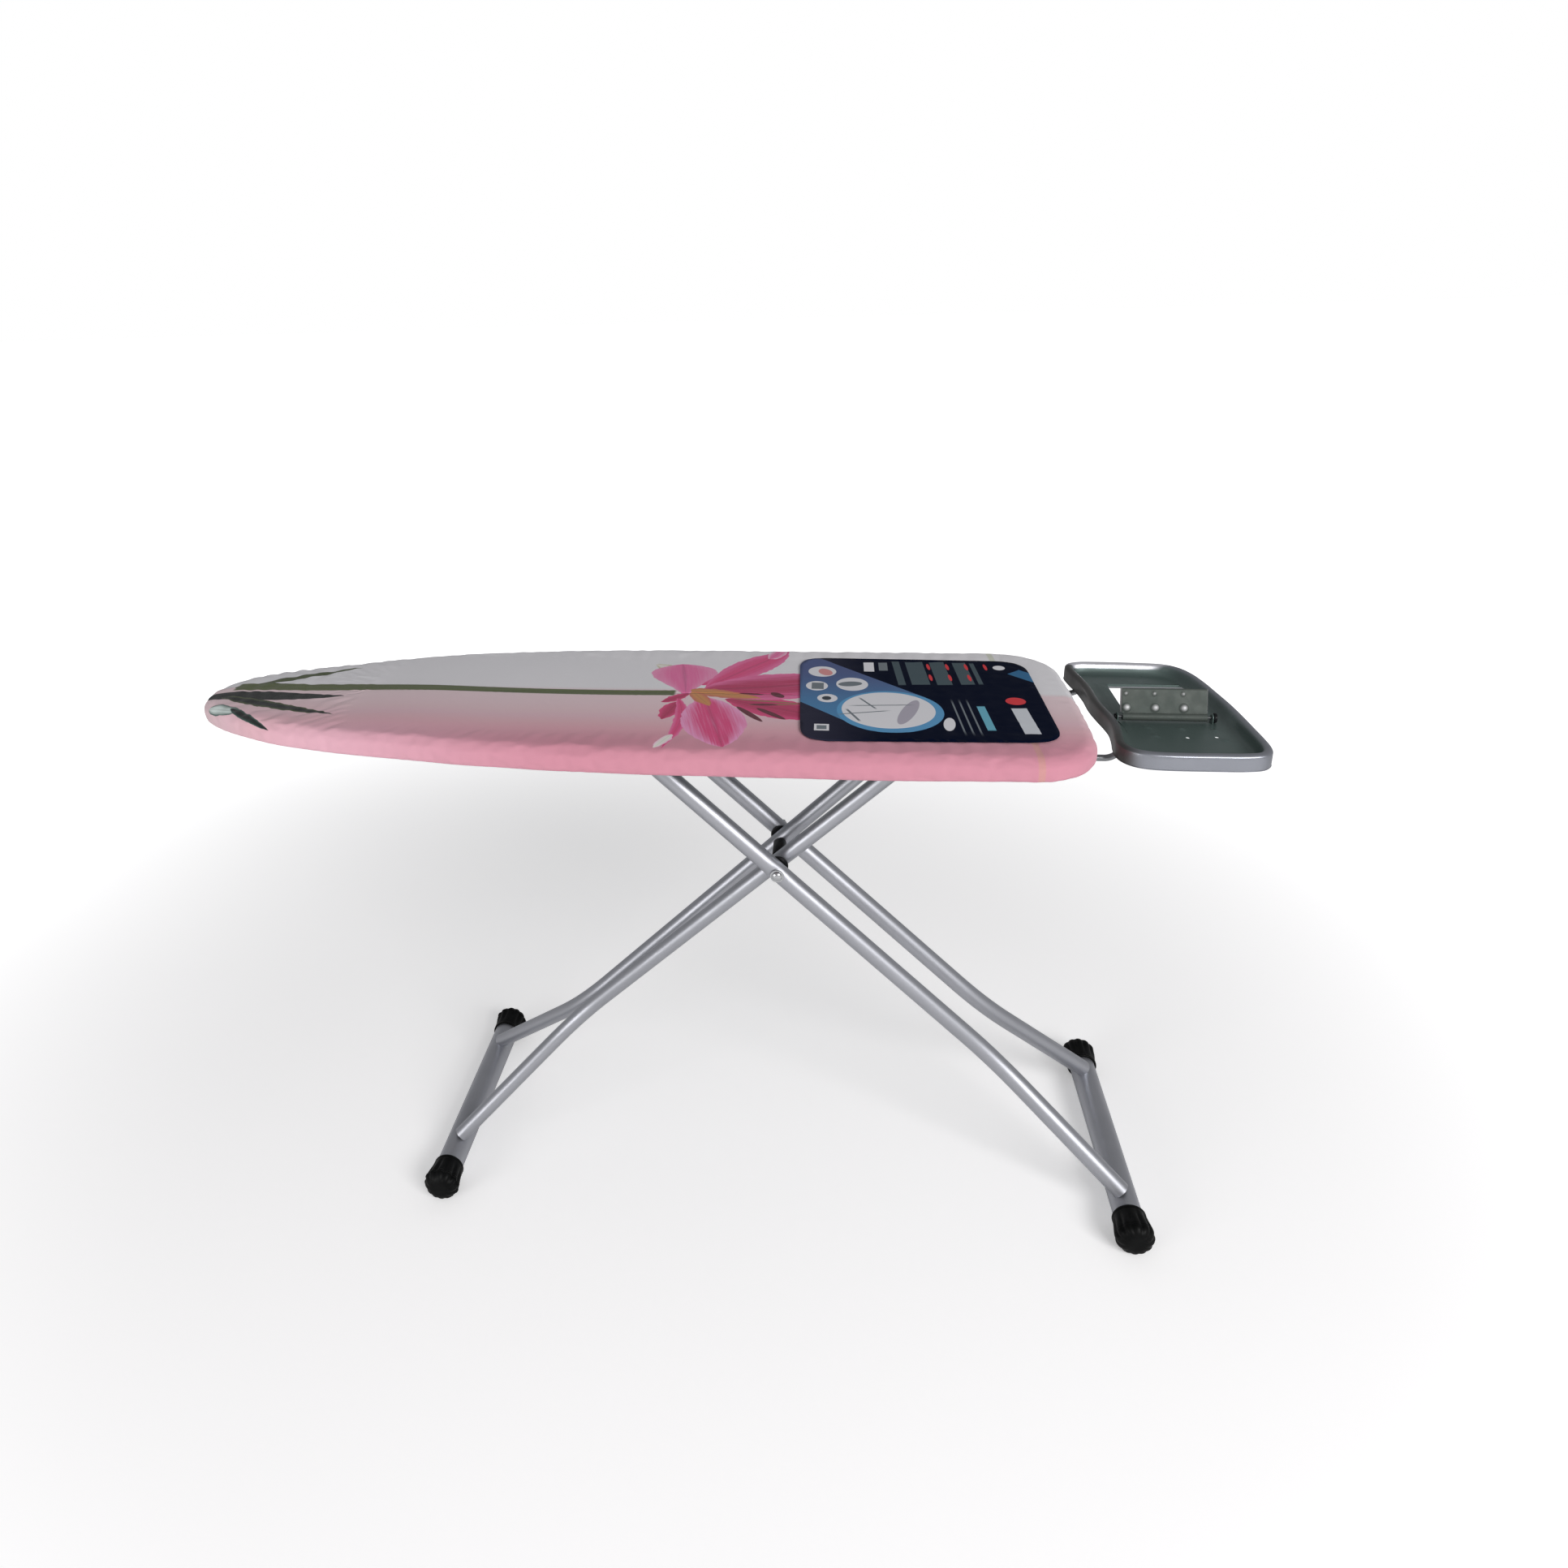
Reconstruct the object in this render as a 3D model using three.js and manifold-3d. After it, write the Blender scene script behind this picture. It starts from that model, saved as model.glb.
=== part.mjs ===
// Folding ironing board with an iron rest tray, standing open at working height.
// Millimetres, +Z up. X runs along the board from the nose (-X) to the tray (+X), Y across it.
// The origin is on the floor, midway between the tip of the nose and the end of the tray.
import * as THREE from "three";
import { mergeVertices } from "three/addons/utils/BufferGeometryUtils.js";
import Module from "manifold-3d";

// ---- driving dimensions ----
const GAP = 0.3; // clearance between pieces that touch

// board
const NOSE_X = -687;
const BOARD_LENGTH = 1185;
const BOARD_HALF_WIDTH = 189;
const NOSE_LENGTH = 695; // the tapering, elliptical part
const NOSE_OVERHANG = 18; // padding beyond the deck at the tip
const END_CORNER_R = 80;
const END_BOW = 5; // how far the square end bulges
const TOP_Z = 714;
const COVER_T = 1.5;
const COVER_BOTTOM_Z = 681.5;
const HEM_WIDTH = 22;
const PAD_T = 6.6;
const DECK_T = 0.9;
const RIM_HEIGHT = 18;
const RIM_WIDTH = 10;
const RIM_T = 1.2;
const VENT_PITCH = 80;
const VENT_R = 7;
const CARD_CORNERS = [
  [150, -155],
  [455, -145],
  [449, 134],
  [140, 146],
];
const CARD_T = 0.6;

// leg frames: both are straight in side view and cross at the axle
const AXLE_X = 118;
const AXLE_Z = 484;
const LEG_REACH = 477; // axle to the lower leg end, along X
const LEG_END_Z = 31;
const HINGE_Z = 668; // top bars of both frames
const OUTER_HALF = 59; // half spacing of the outer tubes
const OUTER_FOOT_HALF = 124; // half spacing of their lower ends
const OUTER_R = 12.5;
const INNER_TOP_HALF = 40;
const INNER_BEND_HALF = 16;
const INNER_FOOT_HALF = 108;
const INNER_R = 11;
const BEND_AT = 0.63; // where the legs start to splay, as a fraction of axle to foot
const TUBE_WALL = 1.2;
const TOP_BAR_R = 6;
const AXLE_R = 4;

// feet
const FOOT_Z = 24;
const FOOT_R = 19;
const FOOT_HALF = 189;
const CAP_HALF = 197;
const CAP_NECK_Y = 151;
const CAP_R = 25;
const FLUTES = 12;

// underside
const RIB_X = [-440, -248, 20, 312, 394];
const HINGE_RIB_X = RIB_X[3]; // carries the hinge brackets and the rod clamps
const RIB_WIDTH = 30;
const RIB_T = 1.5;
const RIB_BOTTOM_Z = 690;
const RAIL_Y = 78;
const RAIL_T = 2.5;
const RAIL_FROM = -264;
const RAIL_TO = 36;
const SLOT_FROM = -235;
const SLOT_TO = 18;
const RAIL_BOTTOM_Z = 652;
const NOTCH_COUNT = 6;

// iron rest tray
const TRAY_RIM_Z = 709.5;
const TRAY_FLOOR_Z = 695.5;
const TRAY_SKIRT_Z = 689.5;
const TRAY_T = 1.2;
const STOP_HINGE = [0, -23, 702];
const STOP_FROM = 545;
const STOP_TO = 647;
const STOP_HEIGHT = 35;
const STOP_LEAN = THREE.MathUtils.degToRad(20);

const wasm = await Module();
wasm.setup();

// ---- materials ----
const colour = (hex, roughness, metalness) => ({ color: hex, roughness, metalness });
const LOOK = {
  cover: colour(0xe9a9bb, 0.95, 0),
  pad: colour(0xd9d6cf, 1, 0),
  card: colour(0x16233f, 0.35, 0),
  tube: colour(0xa9abad, 0.32, 0.9),
  steel: colour(0x8d9092, 0.45, 0.8),
  deck: colour(0x7d8184, 0.5, 0.8),
  tray: colour(0x45504e, 0.38, 0.6),
  rubber: colour(0x0d0f10, 0.6, 0),
  plastic: colour(0x141517, 0.45, 0),
  grip: colour(0x3a3d40, 0.55, 0),
  bolt: colour(0xb9bcbe, 0.3, 0.95),
};

const board = new THREE.Group();

function place(name, geometry, look, position = [0, 0, 0], rotation = [0, 0, 0]) {
  const mesh = new THREE.Mesh(geometry, new THREE.MeshStandardMaterial(LOOK[look]));
  mesh.name = name;
  mesh.position.set(...position);
  mesh.rotation.set(...rotation);
  board.add(mesh);
  return mesh;
}

// ---- solids ----
function signedVolume(positions, index) {
  const a = new THREE.Vector3();
  const b = new THREE.Vector3();
  const c = new THREE.Vector3();
  let sum = 0;
  for (let i = 0; i < index.length; i += 3) {
    a.fromArray(positions, 3 * index[i]);
    b.fromArray(positions, 3 * index[i + 1]);
    c.fromArray(positions, 3 * index[i + 2]);
    sum += a.dot(b.cross(c));
  }
  return sum / 6;
}

function indexed(points, index) {
  const positions = new Float32Array(points.flatMap((p) => [p.x, p.y, p.z]));
  if (signedVolume(positions, index) < 0) index.reverse();
  const geometry = new THREE.BufferGeometry();
  geometry.setAttribute("position", new THREE.BufferAttribute(positions, 3));
  geometry.setIndex(index);
  return geometry;
}

// Skin over rings of equal point count. Either both ends are closed by a fan, or the
// last ring joins the first one, which makes a closed hoop or a pipe with open ends.
function loft(rings, hoop = false) {
  const n = rings[0].length;
  const points = rings.flat();
  const index = [];
  const steps = hoop ? rings.length : rings.length - 1;
  for (let r = 0; r < steps; r++) {
    const here = r * n;
    const next = ((r + 1) % rings.length) * n;
    for (let i = 0; i < n; i++) {
      const j = (i + 1) % n;
      index.push(here + i, here + j, next + j, here + i, next + j, next + i);
    }
  }
  if (!hoop) {
    const last = (rings.length - 1) * n;
    const centres = [rings[0], rings.at(-1)].map((ring) =>
      ring.reduce((s, p) => s.add(p), new THREE.Vector3()).divideScalar(n),
    );
    points.push(...centres);
    for (let i = 0; i < n; i++) {
      const j = (i + 1) % n;
      index.push(points.length - 2, j, i);
      index.push(points.length - 1, last + i, last + j);
    }
  }
  return indexed(points, index);
}

function toSolid(geometry) {
  const bare = geometry.clone();
  bare.deleteAttribute("normal");
  bare.deleteAttribute("uv");
  const merged = mergeVertices(bare, 1e-4);
  return new wasm.Manifold(
    new wasm.Mesh({
      numProp: 3,
      vertProperties: merged.attributes.position.array,
      triVerts: new Uint32Array(merged.index.array),
    }),
  );
}

function toGeometry(manifold) {
  const mesh = manifold.getMesh();
  const geometry = new THREE.BufferGeometry();
  geometry.setAttribute("position", new THREE.BufferAttribute(mesh.vertProperties, 3));
  geometry.setIndex(new THREE.BufferAttribute(mesh.triVerts, 1));
  return geometry;
}

function cut(geometry, ...tools) {
  return toGeometry(tools.reduce((s, t) => s.subtract(toSolid(t)), toSolid(geometry)));
}

function join(geometry, ...others) {
  return toGeometry(others.reduce((s, t) => s.add(toSolid(t)), toSolid(geometry)));
}

function box(x0, x1, y0, y1, z0, z1) {
  const geometry = new THREE.BoxGeometry(x1 - x0, y1 - y0, z1 - z0);
  return geometry.translate((x0 + x1) / 2, (y0 + y1) / 2, (z0 + z1) / 2);
}

// A round bar along Y.
function barY(radius, y0, y1, x = 0, z = 0, segments = 16) {
  const geometry = new THREE.CylinderGeometry(radius, radius, Math.abs(y1 - y0), segments);
  return geometry.translate(x, (y0 + y1) / 2, z);
}

// A sleeve along Y.
function sleeveY(outer, inner, y0, y1, segments = 20) {
  const circle = (r, y) =>
    Array.from({ length: segments }, (_, i) => {
      const a = (2 * Math.PI * i) / segments;
      return new THREE.Vector3(r * Math.cos(a), y, r * Math.sin(a));
    });
  return loft([circle(outer, y0), circle(outer, y1), circle(inner, y1), circle(inner, y0)], true);
}

// Rings of a round tube along a path that never runs parallel to Y.
function ringsAlong(path, radius, segments) {
  return path.map((p, k) => {
    const from = path[Math.max(k - 1, 0)];
    const to = path[Math.min(k + 1, path.length - 1)];
    const t = to.clone().sub(from).normalize();
    const u = new THREE.Vector3(0, 1, 0).addScaledVector(t, -t.y).normalize();
    const v = t.clone().cross(u);
    return Array.from({ length: segments }, (_, i) => {
      const a = (2 * Math.PI * (i + 0.5)) / segments;
      return p
        .clone()
        .addScaledVector(u, radius * Math.cos(a))
        .addScaledVector(v, radius * Math.sin(a));
    });
  });
}

function pipe(path, radius, wall, segments) {
  const outside = ringsAlong(path, radius, segments);
  const inside = ringsAlong(path, radius - wall, segments).reverse();
  return loft([...outside, ...inside], true);
}

// A polyline with its corners rounded by a quadratic curve.
function rounded(corners, reach, steps) {
  const path = [corners[0]];
  for (let k = 1; k < corners.length - 1; k++) {
    const before = corners[k].clone().lerp(corners[k - 1], reach / corners[k].distanceTo(corners[k - 1]));
    const after = corners[k].clone().lerp(corners[k + 1], reach / corners[k].distanceTo(corners[k + 1]));
    const bend = new THREE.QuadraticBezierCurve3(before, corners[k], after);
    path.push(...bend.getPoints(steps));
  }
  path.push(corners.at(-1));
  return path;
}

// ---- board top ----
// Outline of the board, shrunk by inset: an ellipse at the nose, round corners at the end.
function boardOutline(inset, shortNose = 0) {
  const half = BOARD_HALF_WIDTH - inset;
  const noseLength = NOSE_LENGTH - shortNose - inset;
  const noseCentre = NOSE_X + NOSE_LENGTH;
  const end = NOSE_X + BOARD_LENGTH - inset;
  const r = END_CORNER_R - inset;
  const points = [];
  const noseSteps = 30;
  for (let i = 0; i <= noseSteps; i++) {
    const a = Math.PI * (0.5 + i / noseSteps);
    points.push([noseCentre + noseLength * Math.cos(a), half * Math.sin(a)]);
  }
  const cornerSteps = 6;
  for (const side of [-1, 1]) {
    for (let i = 0; i <= cornerSteps; i++) {
      const a = (side * Math.PI * (side < 0 ? cornerSteps - i : i)) / (2 * cornerSteps);
      const bow = END_BOW * (1 - Math.abs(a) / (Math.PI / 2)) * 0.4;
      const x = end - END_BOW - r + r * Math.cos(a) + bow;
      points.push([x, side * (half - r) + r * Math.sin(a)]);
    }
    if (side < 0) {
      for (const k of [-0.5, 0, 0.5]) {
        points.push([end - END_BOW * (0.1 + 0.6 * k * k), k * 2 * (half - r) * 0.62]);
      }
    }
  }
  return points;
}

// A solid or hoop swept round an outline: each profile entry is [inset, z].
function around(outline, profile, hoop = false) {
  const rings = profile.map(([inset, z]) =>
    outline(inset).map(([x, y]) => new THREE.Vector3(x, y, z)),
  );
  return loft(rings, hoop);
}

const coverInside = COVER_T;
place(
  "cover",
  around(boardOutline, [
    [9, TOP_Z],
    [3, TOP_Z - 2.4],
    [0, TOP_Z - 8.5],
    [0, COVER_BOTTOM_Z + 8],
    [2.5, COVER_BOTTOM_Z + 2],
    [7, COVER_BOTTOM_Z],
    [HEM_WIDTH, COVER_BOTTOM_Z],
    [HEM_WIDTH, COVER_BOTTOM_Z + COVER_T],
    [7.5, COVER_BOTTOM_Z + COVER_T],
    [coverInside + 2.2, COVER_BOTTOM_Z + 3.2],
    [coverInside, COVER_BOTTOM_Z + 8.5],
    [coverInside, TOP_Z - 9],
    [4.1, TOP_Z - 3.8],
    [9.5, TOP_Z - COVER_T],
  ]),
  "cover",
);

const padTop = TOP_Z - COVER_T - GAP;
const padBottom = padTop - PAD_T;
place(
  "pad",
  around(boardOutline, [
    [9.8, padTop],
    [5.2, padTop - 2.6],
    [3.2, padTop - 4.5],
    [3.2, padBottom],
  ]),
  "pad",
);

// The deck and its frame stop short of the tip of the nose.
const frameOutline = (inset) => boardOutline(inset, NOSE_OVERHANG);

const deckTop = padBottom - GAP;
const deckBottom = deckTop - DECK_T;
function ventHoles() {
  const holes = [];
  const clear = frameOutline(46).map(([x, y]) => new THREE.Vector2(x, y));
  const inside = new THREE.Shape(clear);
  const area = inside.getPoints();
  for (let i = 0; i < 15; i++) {
    const x = NOSE_X + 72 + i * VENT_PITCH;
    const onRib = RIB_X.some((rib) => Math.abs(rib - x) < RIB_WIDTH / 2 + VENT_R + 2);
    const rows = i % 2 ? [-100, -34, 34, 100] : [-134, -67, 0, 67, 134];
    for (const y of rows) {
      if (onRib || !contains(area, x, y)) continue;
      const hole = new THREE.CylinderGeometry(VENT_R, VENT_R, 10, 6);
      holes.push(hole.rotateX(Math.PI / 2).translate(x, y, deckTop));
    }
  }
  return holes;
}

function contains(polygon, x, y) {
  let inside = false;
  for (let i = 0, j = polygon.length - 1; i < polygon.length; j = i++) {
    const a = polygon[i];
    const b = polygon[j];
    if (a.y > y !== b.y > y && x < ((b.x - a.x) * (y - a.y)) / (b.y - a.y) + a.x) inside = !inside;
  }
  return inside;
}

const deckPlate = around(frameOutline, [
  [8, deckTop],
  [8, deckBottom],
]);
place("deck", cut(deckPlate, ...ventHoles()), "deck");

// The edge frame is a folded channel, open below.
const rimTop = deckBottom - GAP;
const rimBottom = rimTop - RIM_HEIGHT;
place(
  "edge_frame",
  around(
    frameOutline,
    [
      [6, rimTop],
      [6, rimBottom],
      [6 + RIM_T, rimBottom],
      [6 + RIM_T, rimTop - RIM_T],
      [6 + RIM_WIDTH - RIM_T, rimTop - RIM_T],
      [6 + RIM_WIDTH - RIM_T, rimBottom],
      [6 + RIM_WIDTH, rimBottom],
      [6 + RIM_WIDTH, rimTop],
    ],
    true,
  ),
  "steel",
);

// Half of the clear width between the sides of the edge frame at x.
function halfClear(x) {
  const inset = 6 + RIM_WIDTH + 3;
  const along = (NOSE_X + NOSE_LENGTH - x) / (NOSE_LENGTH - NOSE_OVERHANG - inset);
  const full = BOARD_HALF_WIDTH - inset;
  return along > 0 ? full * Math.sqrt(1 - along * along) : full;
}

// Cross rib: a hat section of folded sheet, open below.
function rib(x) {
  const half = Math.min(halfClear(x - RIB_WIDTH / 2), halfClear(x + RIB_WIDTH / 2));
  const w = RIB_WIDTH / 2;
  const outside = box(x - w, x + w, -half, half, RIB_BOTTOM_Z, rimTop);
  const hollow = box(x - w + RIB_T, x + w - RIB_T, -half - 1, half + 1, RIB_BOTTOM_Z - 1, rimTop - RIB_T);
  return cut(outside, hollow);
}
RIB_X.forEach((x, i) => place("cross_rib_" + (i + 1), rib(x), "steel"));

const card = new THREE.Shape();
const cardRound = 40;
CARD_CORNERS.forEach((corner, i) => {
  const here = new THREE.Vector2(...corner);
  const before = new THREE.Vector2(...CARD_CORNERS[(i + 3) % 4]);
  const after = new THREE.Vector2(...CARD_CORNERS[(i + 1) % 4]);
  const start = here.clone().lerp(before, cardRound / here.distanceTo(before));
  const stop = here.clone().lerp(after, cardRound / here.distanceTo(after));
  if (i === 0) card.moveTo(start.x, start.y);
  else card.lineTo(start.x, start.y);
  card.quadraticCurveTo(here.x, here.y, stop.x, stop.y);
});
place(
  "label_card",
  new THREE.ExtrudeGeometry(card, { depth: CARD_T, bevelEnabled: false, curveSegments: 5 }),
  "card",
  [0, 0, TOP_Z + GAP],
);

// ---- iron rest tray ----
// Plan of the tray: a rounded quadrilateral with a wavy edge towards the board.
function trayOutline(inset) {
  const key = [
    [516, 20],
    [519, -12],
    [522, -35],
    [523.5, -58],
    [521.5, -80],
    [518, -102],
    [517, -119],
    [521, -134],
    [531, -146],
    [546, -152.5],
    [567, -155],
    [612, -155],
    [653, -153.5],
    [672, -149],
    [682, -139],
    [686.5, -124],
    [687, -66],
    [685, 0],
    [681, 46],
    [676, 92],
    [670, 121],
    [660, 143],
    [643, 157],
    [600, 163],
    [556, 165],
    [528, 164],
    [513, 157],
    [508, 145],
    [509.5, 120],
    [513.5, 92],
    [516, 58],
  ].map(([x, y]) => new THREE.Vector3(x, y, 0));
  const curve = new THREE.CatmullRomCurve3(key, true, "centripetal");
  const count = 54;
  return Array.from({ length: count }, (_, i) => {
    const p = curve.getPoint(i / count);
    const t = curve.getTangent(i / count);
    return [p.x - inset * t.y, p.y + inset * t.x];
  });
}

const trayTopSide = [
  [21, TRAY_FLOOR_Z],
  [16.5, TRAY_FLOOR_Z + 1],
  [13, TRAY_FLOOR_Z + 5],
  [10.5, TRAY_RIM_Z - 2.4],
  [7.5, TRAY_RIM_Z - 0.3],
  [4, TRAY_RIM_Z],
  [1.2, TRAY_RIM_Z - 1.6],
  [0, TRAY_RIM_Z - 5],
  [0, TRAY_SKIRT_Z],
];
const trayUnderside = [
  [TRAY_T, TRAY_SKIRT_Z],
  [TRAY_T, TRAY_RIM_Z - 5.2],
  [2.2, TRAY_RIM_Z - 2.6],
  [4.4, TRAY_RIM_Z - 1.3],
  [7, TRAY_RIM_Z - 1.6],
  [9.4, TRAY_RIM_Z - 3.2],
  [11.8, TRAY_FLOOR_Z + 4.4],
  [15.8, TRAY_FLOOR_Z - 0.1],
  [21.2, TRAY_FLOOR_Z - TRAY_T],
];
const trayWindow = box(557, 660, 14, 110, TRAY_FLOOR_Z - 10, TRAY_FLOOR_Z + 2.5);

function dome(x, y, z, radius, height) {
  const profile = [
    [0, -TRAY_T + 0.2],
    [radius, -TRAY_T + 0.2],
    [radius, 0],
    [radius * 0.72, height * 0.72],
    [radius * 0.34, height],
    [0, height],
  ].map(([r, h]) => new THREE.Vector2(r, h));
  const geometry = new THREE.LatheGeometry(profile, 10);
  return geometry.rotateX(Math.PI / 2).translate(x, y, z);
}
const floorDots = [
  [572, -41],
  [575, -68],
  [611, -44],
  [649, -49],
  [651, -77],
].map(([x, y]) => dome(x, y, TRAY_FLOOR_Z, 3.2, 1.6));
const floorHoles = [
  [611, -71],
  [645, -68],
].map(([x, y]) => barY(2.6, -6, 6, 0, 0, 8).rotateX(Math.PI / 2).translate(x, y, TRAY_FLOOR_Z));
// Two ears bent up from the floor carry the pin of the heel stop.
const earXs = [STOP_FROM - 6, STOP_TO + 4.5];
const ears = earXs.map((x) => {
  const [, y, z] = STOP_HINGE;
  return box(x, x + 1.5, y - 5, y + 5, TRAY_FLOOR_Z - 0.6, z + 5);
});
const pinHole = new THREE.CylinderGeometry(2.05, 2.05, 160, 12)
  .rotateZ(Math.PI / 2)
  .translate((STOP_FROM + STOP_TO) / 2, STOP_HINGE[1], STOP_HINGE[2]);
const trayShell = around(trayOutline, [...trayTopSide, ...trayUnderside]);
place("tray_pan", cut(join(trayShell, ...floorDots, ...ears), trayWindow, pinHole, ...floorHoles), "tray");

// Heel stop: a small upright plate with bumps, turned by a pin in the two ears.
const stopMid = (STOP_FROM + STOP_TO) / 2;
const stopHalf = (STOP_TO - STOP_FROM) / 2;
function heelStop() {
  const plate = box(-stopHalf, stopHalf, -0.8, 0.8, 3.2, STOP_HEIGHT);
  const curl = new THREE.CylinderGeometry(4.2, 4.2, 2 * stopHalf, 14).rotateZ(Math.PI / 2);
  const flange = (x) => box(x - 0.75, x + 0.75, -0.5, 6, 2, STOP_HEIGHT);
  const flanges = [flange(0.75 - stopHalf), flange(stopHalf - 0.75)];
  const bumps = [-45, -11, 23].flatMap((x) => [
    dome(x, 0, 0, 5, 3).rotateX(Math.PI / 2).translate(0, -0.8, 11.5),
    dome(x - 1, 0, 0, 2.6, 1.5).rotateX(Math.PI / 2).translate(0, -0.8, 29),
  ]);
  const bore = new THREE.CylinderGeometry(2.3, 2.3, 4 * stopHalf, 12).rotateZ(Math.PI / 2);
  return cut(join(plate, curl, ...flanges, ...bumps), bore);
}
const pinMiddle = [stopMid, STOP_HINGE[1], STOP_HINGE[2]];
place("heel_stop_plate", heelStop(), "tray", pinMiddle, [-STOP_LEAN, 0, 0]);
const pinLength = 2 * stopHalf + 20;
place(
  "heel_stop_pin",
  new THREE.CylinderGeometry(1.75, 1.75, pinLength, 10).rotateZ(Math.PI / 2),
  "bolt",
  pinMiddle,
);
for (const [name, radius, half, x] of [
  ["heel_stop_bush_small", 3.6, 1.2, earXs[0] - 1.6],
  ["heel_stop_bush_large", 6, 1.8, earXs[1] + 3.8],
]) {
  const bush = sleeveY(radius, 2.05, -half, half, 16).rotateZ(Math.PI / 2);
  place(name, bush, "plastic", [x, STOP_HINGE[1], STOP_HINGE[2]]);
}

// Carrying rods: from under the board, joggled up to the floor of the tray.
const ROD_R = 4;
const rodLowZ = COVER_BOTTOM_Z - GAP - ROD_R;
const rodHighZ = TRAY_FLOOR_Z - TRAY_T - GAP - ROD_R;
for (const [side, y] of [
  ["near", -96],
  ["far", 120],
]) {
  const corners = [
    [HINGE_RIB_X - 22, rodLowZ],
    [517, rodLowZ],
    [534, rodHighZ],
    [664, rodHighZ],
  ].map(([x, z]) => new THREE.Vector3(x, y, z));
  place("tray_rod_" + side, loft(ringsAlong(rounded(corners, 7, 2), ROD_R, 12)), "steel");
  const block = box(-12, 12, y - 9, y + 9, rodLowZ - 1, RIB_BOTTOM_Z - GAP);
  const reach = ROD_R + GAP;
  const groove = box(-20, 20, y - reach, y + reach, rodLowZ - 20, rodLowZ + reach);
  place("rod_clamp_" + side, cut(block, groove), "steel", [HINGE_RIB_X, 0, 0]);
}

// ---- leg frames ----
const legAngle = Math.atan2(AXLE_Z - LEG_END_Z, LEG_REACH);
const upperLeg = (HINGE_Z - AXLE_Z) / Math.sin(legAngle);
const lowerLeg = LEG_REACH / Math.cos(legAngle);
const topReach = upperLeg * Math.cos(legAngle);

// A leg tube: dir is +1 when its foot is on the tray side, side is -1 near or +1 far.
function legPath(dir, side, topHalf, bendHalf, footHalf) {
  const at = (s, half) =>
    new THREE.Vector3(
      AXLE_X + dir * s * Math.cos(legAngle),
      side * half,
      AXLE_Z - s * Math.sin(legAngle),
    );
  const top = upperLeg + 11;
  const slope = (topHalf - bendHalf) / (upperLeg + BEND_AT * lowerLeg);
  const halfAt = (s) => topHalf - slope * (s + upperLeg);
  const corners = [at(-top, halfAt(-top)), at(BEND_AT * lowerLeg, bendHalf), at(lowerLeg, footHalf)];
  return rounded(corners, 55, 5);
}

// The lower end is coped over the foot tube; the top bar and the axle pass through bores.
function legTube(dir, side, halves, radius) {
  const path = legPath(dir, side, ...halves);
  const tube = pipe(path, radius, TUBE_WALL, 14);
  const footSpace = barY(FOOT_R + GAP, -250, 250, AXLE_X + dir * LEG_REACH, FOOT_Z, 24);
  const barBore = barY(TOP_BAR_R + GAP, -250, 250, AXLE_X - dir * topReach, HINGE_Z);
  const axleBore = barY(AXLE_R + GAP, -250, 250, AXLE_X, AXLE_Z);
  return cut(tube, footSpace, barBore, axleBore);
}

const frames = [
  { name: "outer", dir: 1, radius: OUTER_R, halves: [OUTER_HALF, OUTER_HALF, OUTER_FOOT_HALF] },
  { name: "inner", dir: -1, radius: INNER_R, halves: [INNER_TOP_HALF, INNER_BEND_HALF, INNER_FOOT_HALF] },
];

// Rubber cap on a foot end, along +Y from the neck, with a cup for the tube, flutes
// round the outside and a flat pad where it stands on the floor.
function footCap() {
  const ring = (r, y, flute) =>
    Array.from({ length: 2 * FLUTES }, (_, i) => {
      const a = (Math.PI * (i + 0.5)) / FLUTES;
      const radius = i % 2 ? r : r - flute;
      return new THREE.Vector3(radius * Math.cos(a), y, radius * Math.sin(a));
    });
  const shell = loft([
    ring(FOOT_R + GAP + 0.2, FOOT_HALF + 1, 0),
    ring(FOOT_R + GAP + 0.2, CAP_NECK_Y, 0),
    ring(FOOT_R + 2.6, CAP_NECK_Y, 0),
    ring(FOOT_R + 3.2, CAP_NECK_Y + 7, 0.6),
    ring(CAP_R + 0.25, CAP_NECK_Y + 30, 2.2),
    ring(CAP_R + 0.25, CAP_HALF - 7, 2.2),
    ring(CAP_R - 5, CAP_HALF, 0.5),
  ]);
  const trimmed = cut(shell, box(-40, 40, 0, 250, -40, 0.6 - FOOT_Z));
  return join(trimmed, box(-8, 8, CAP_NECK_Y + 24, CAP_HALF - 7, -FOOT_Z, 3.5 - FOOT_Z));
}

for (const { name, dir, radius, halves } of frames) {
  const footX = AXLE_X + dir * LEG_REACH;
  place("leg_" + name + "_near", legTube(dir, -1, halves, radius), "tube");
  place("leg_" + name + "_far", legTube(dir, 1, halves, radius), "tube");
  const foot = sleeveY(FOOT_R, FOOT_R - 1.5, -FOOT_HALF, FOOT_HALF, 24);
  place("foot_tube_" + name, foot, "tube", [footX, 0, FOOT_Z]);
  place("foot_cap_" + name + "_far", footCap(), "rubber", [footX, 0, FOOT_Z]);
  place("foot_cap_" + name + "_near", footCap(), "rubber", [footX, 0, FOOT_Z], [0, 0, Math.PI]);
}

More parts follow.
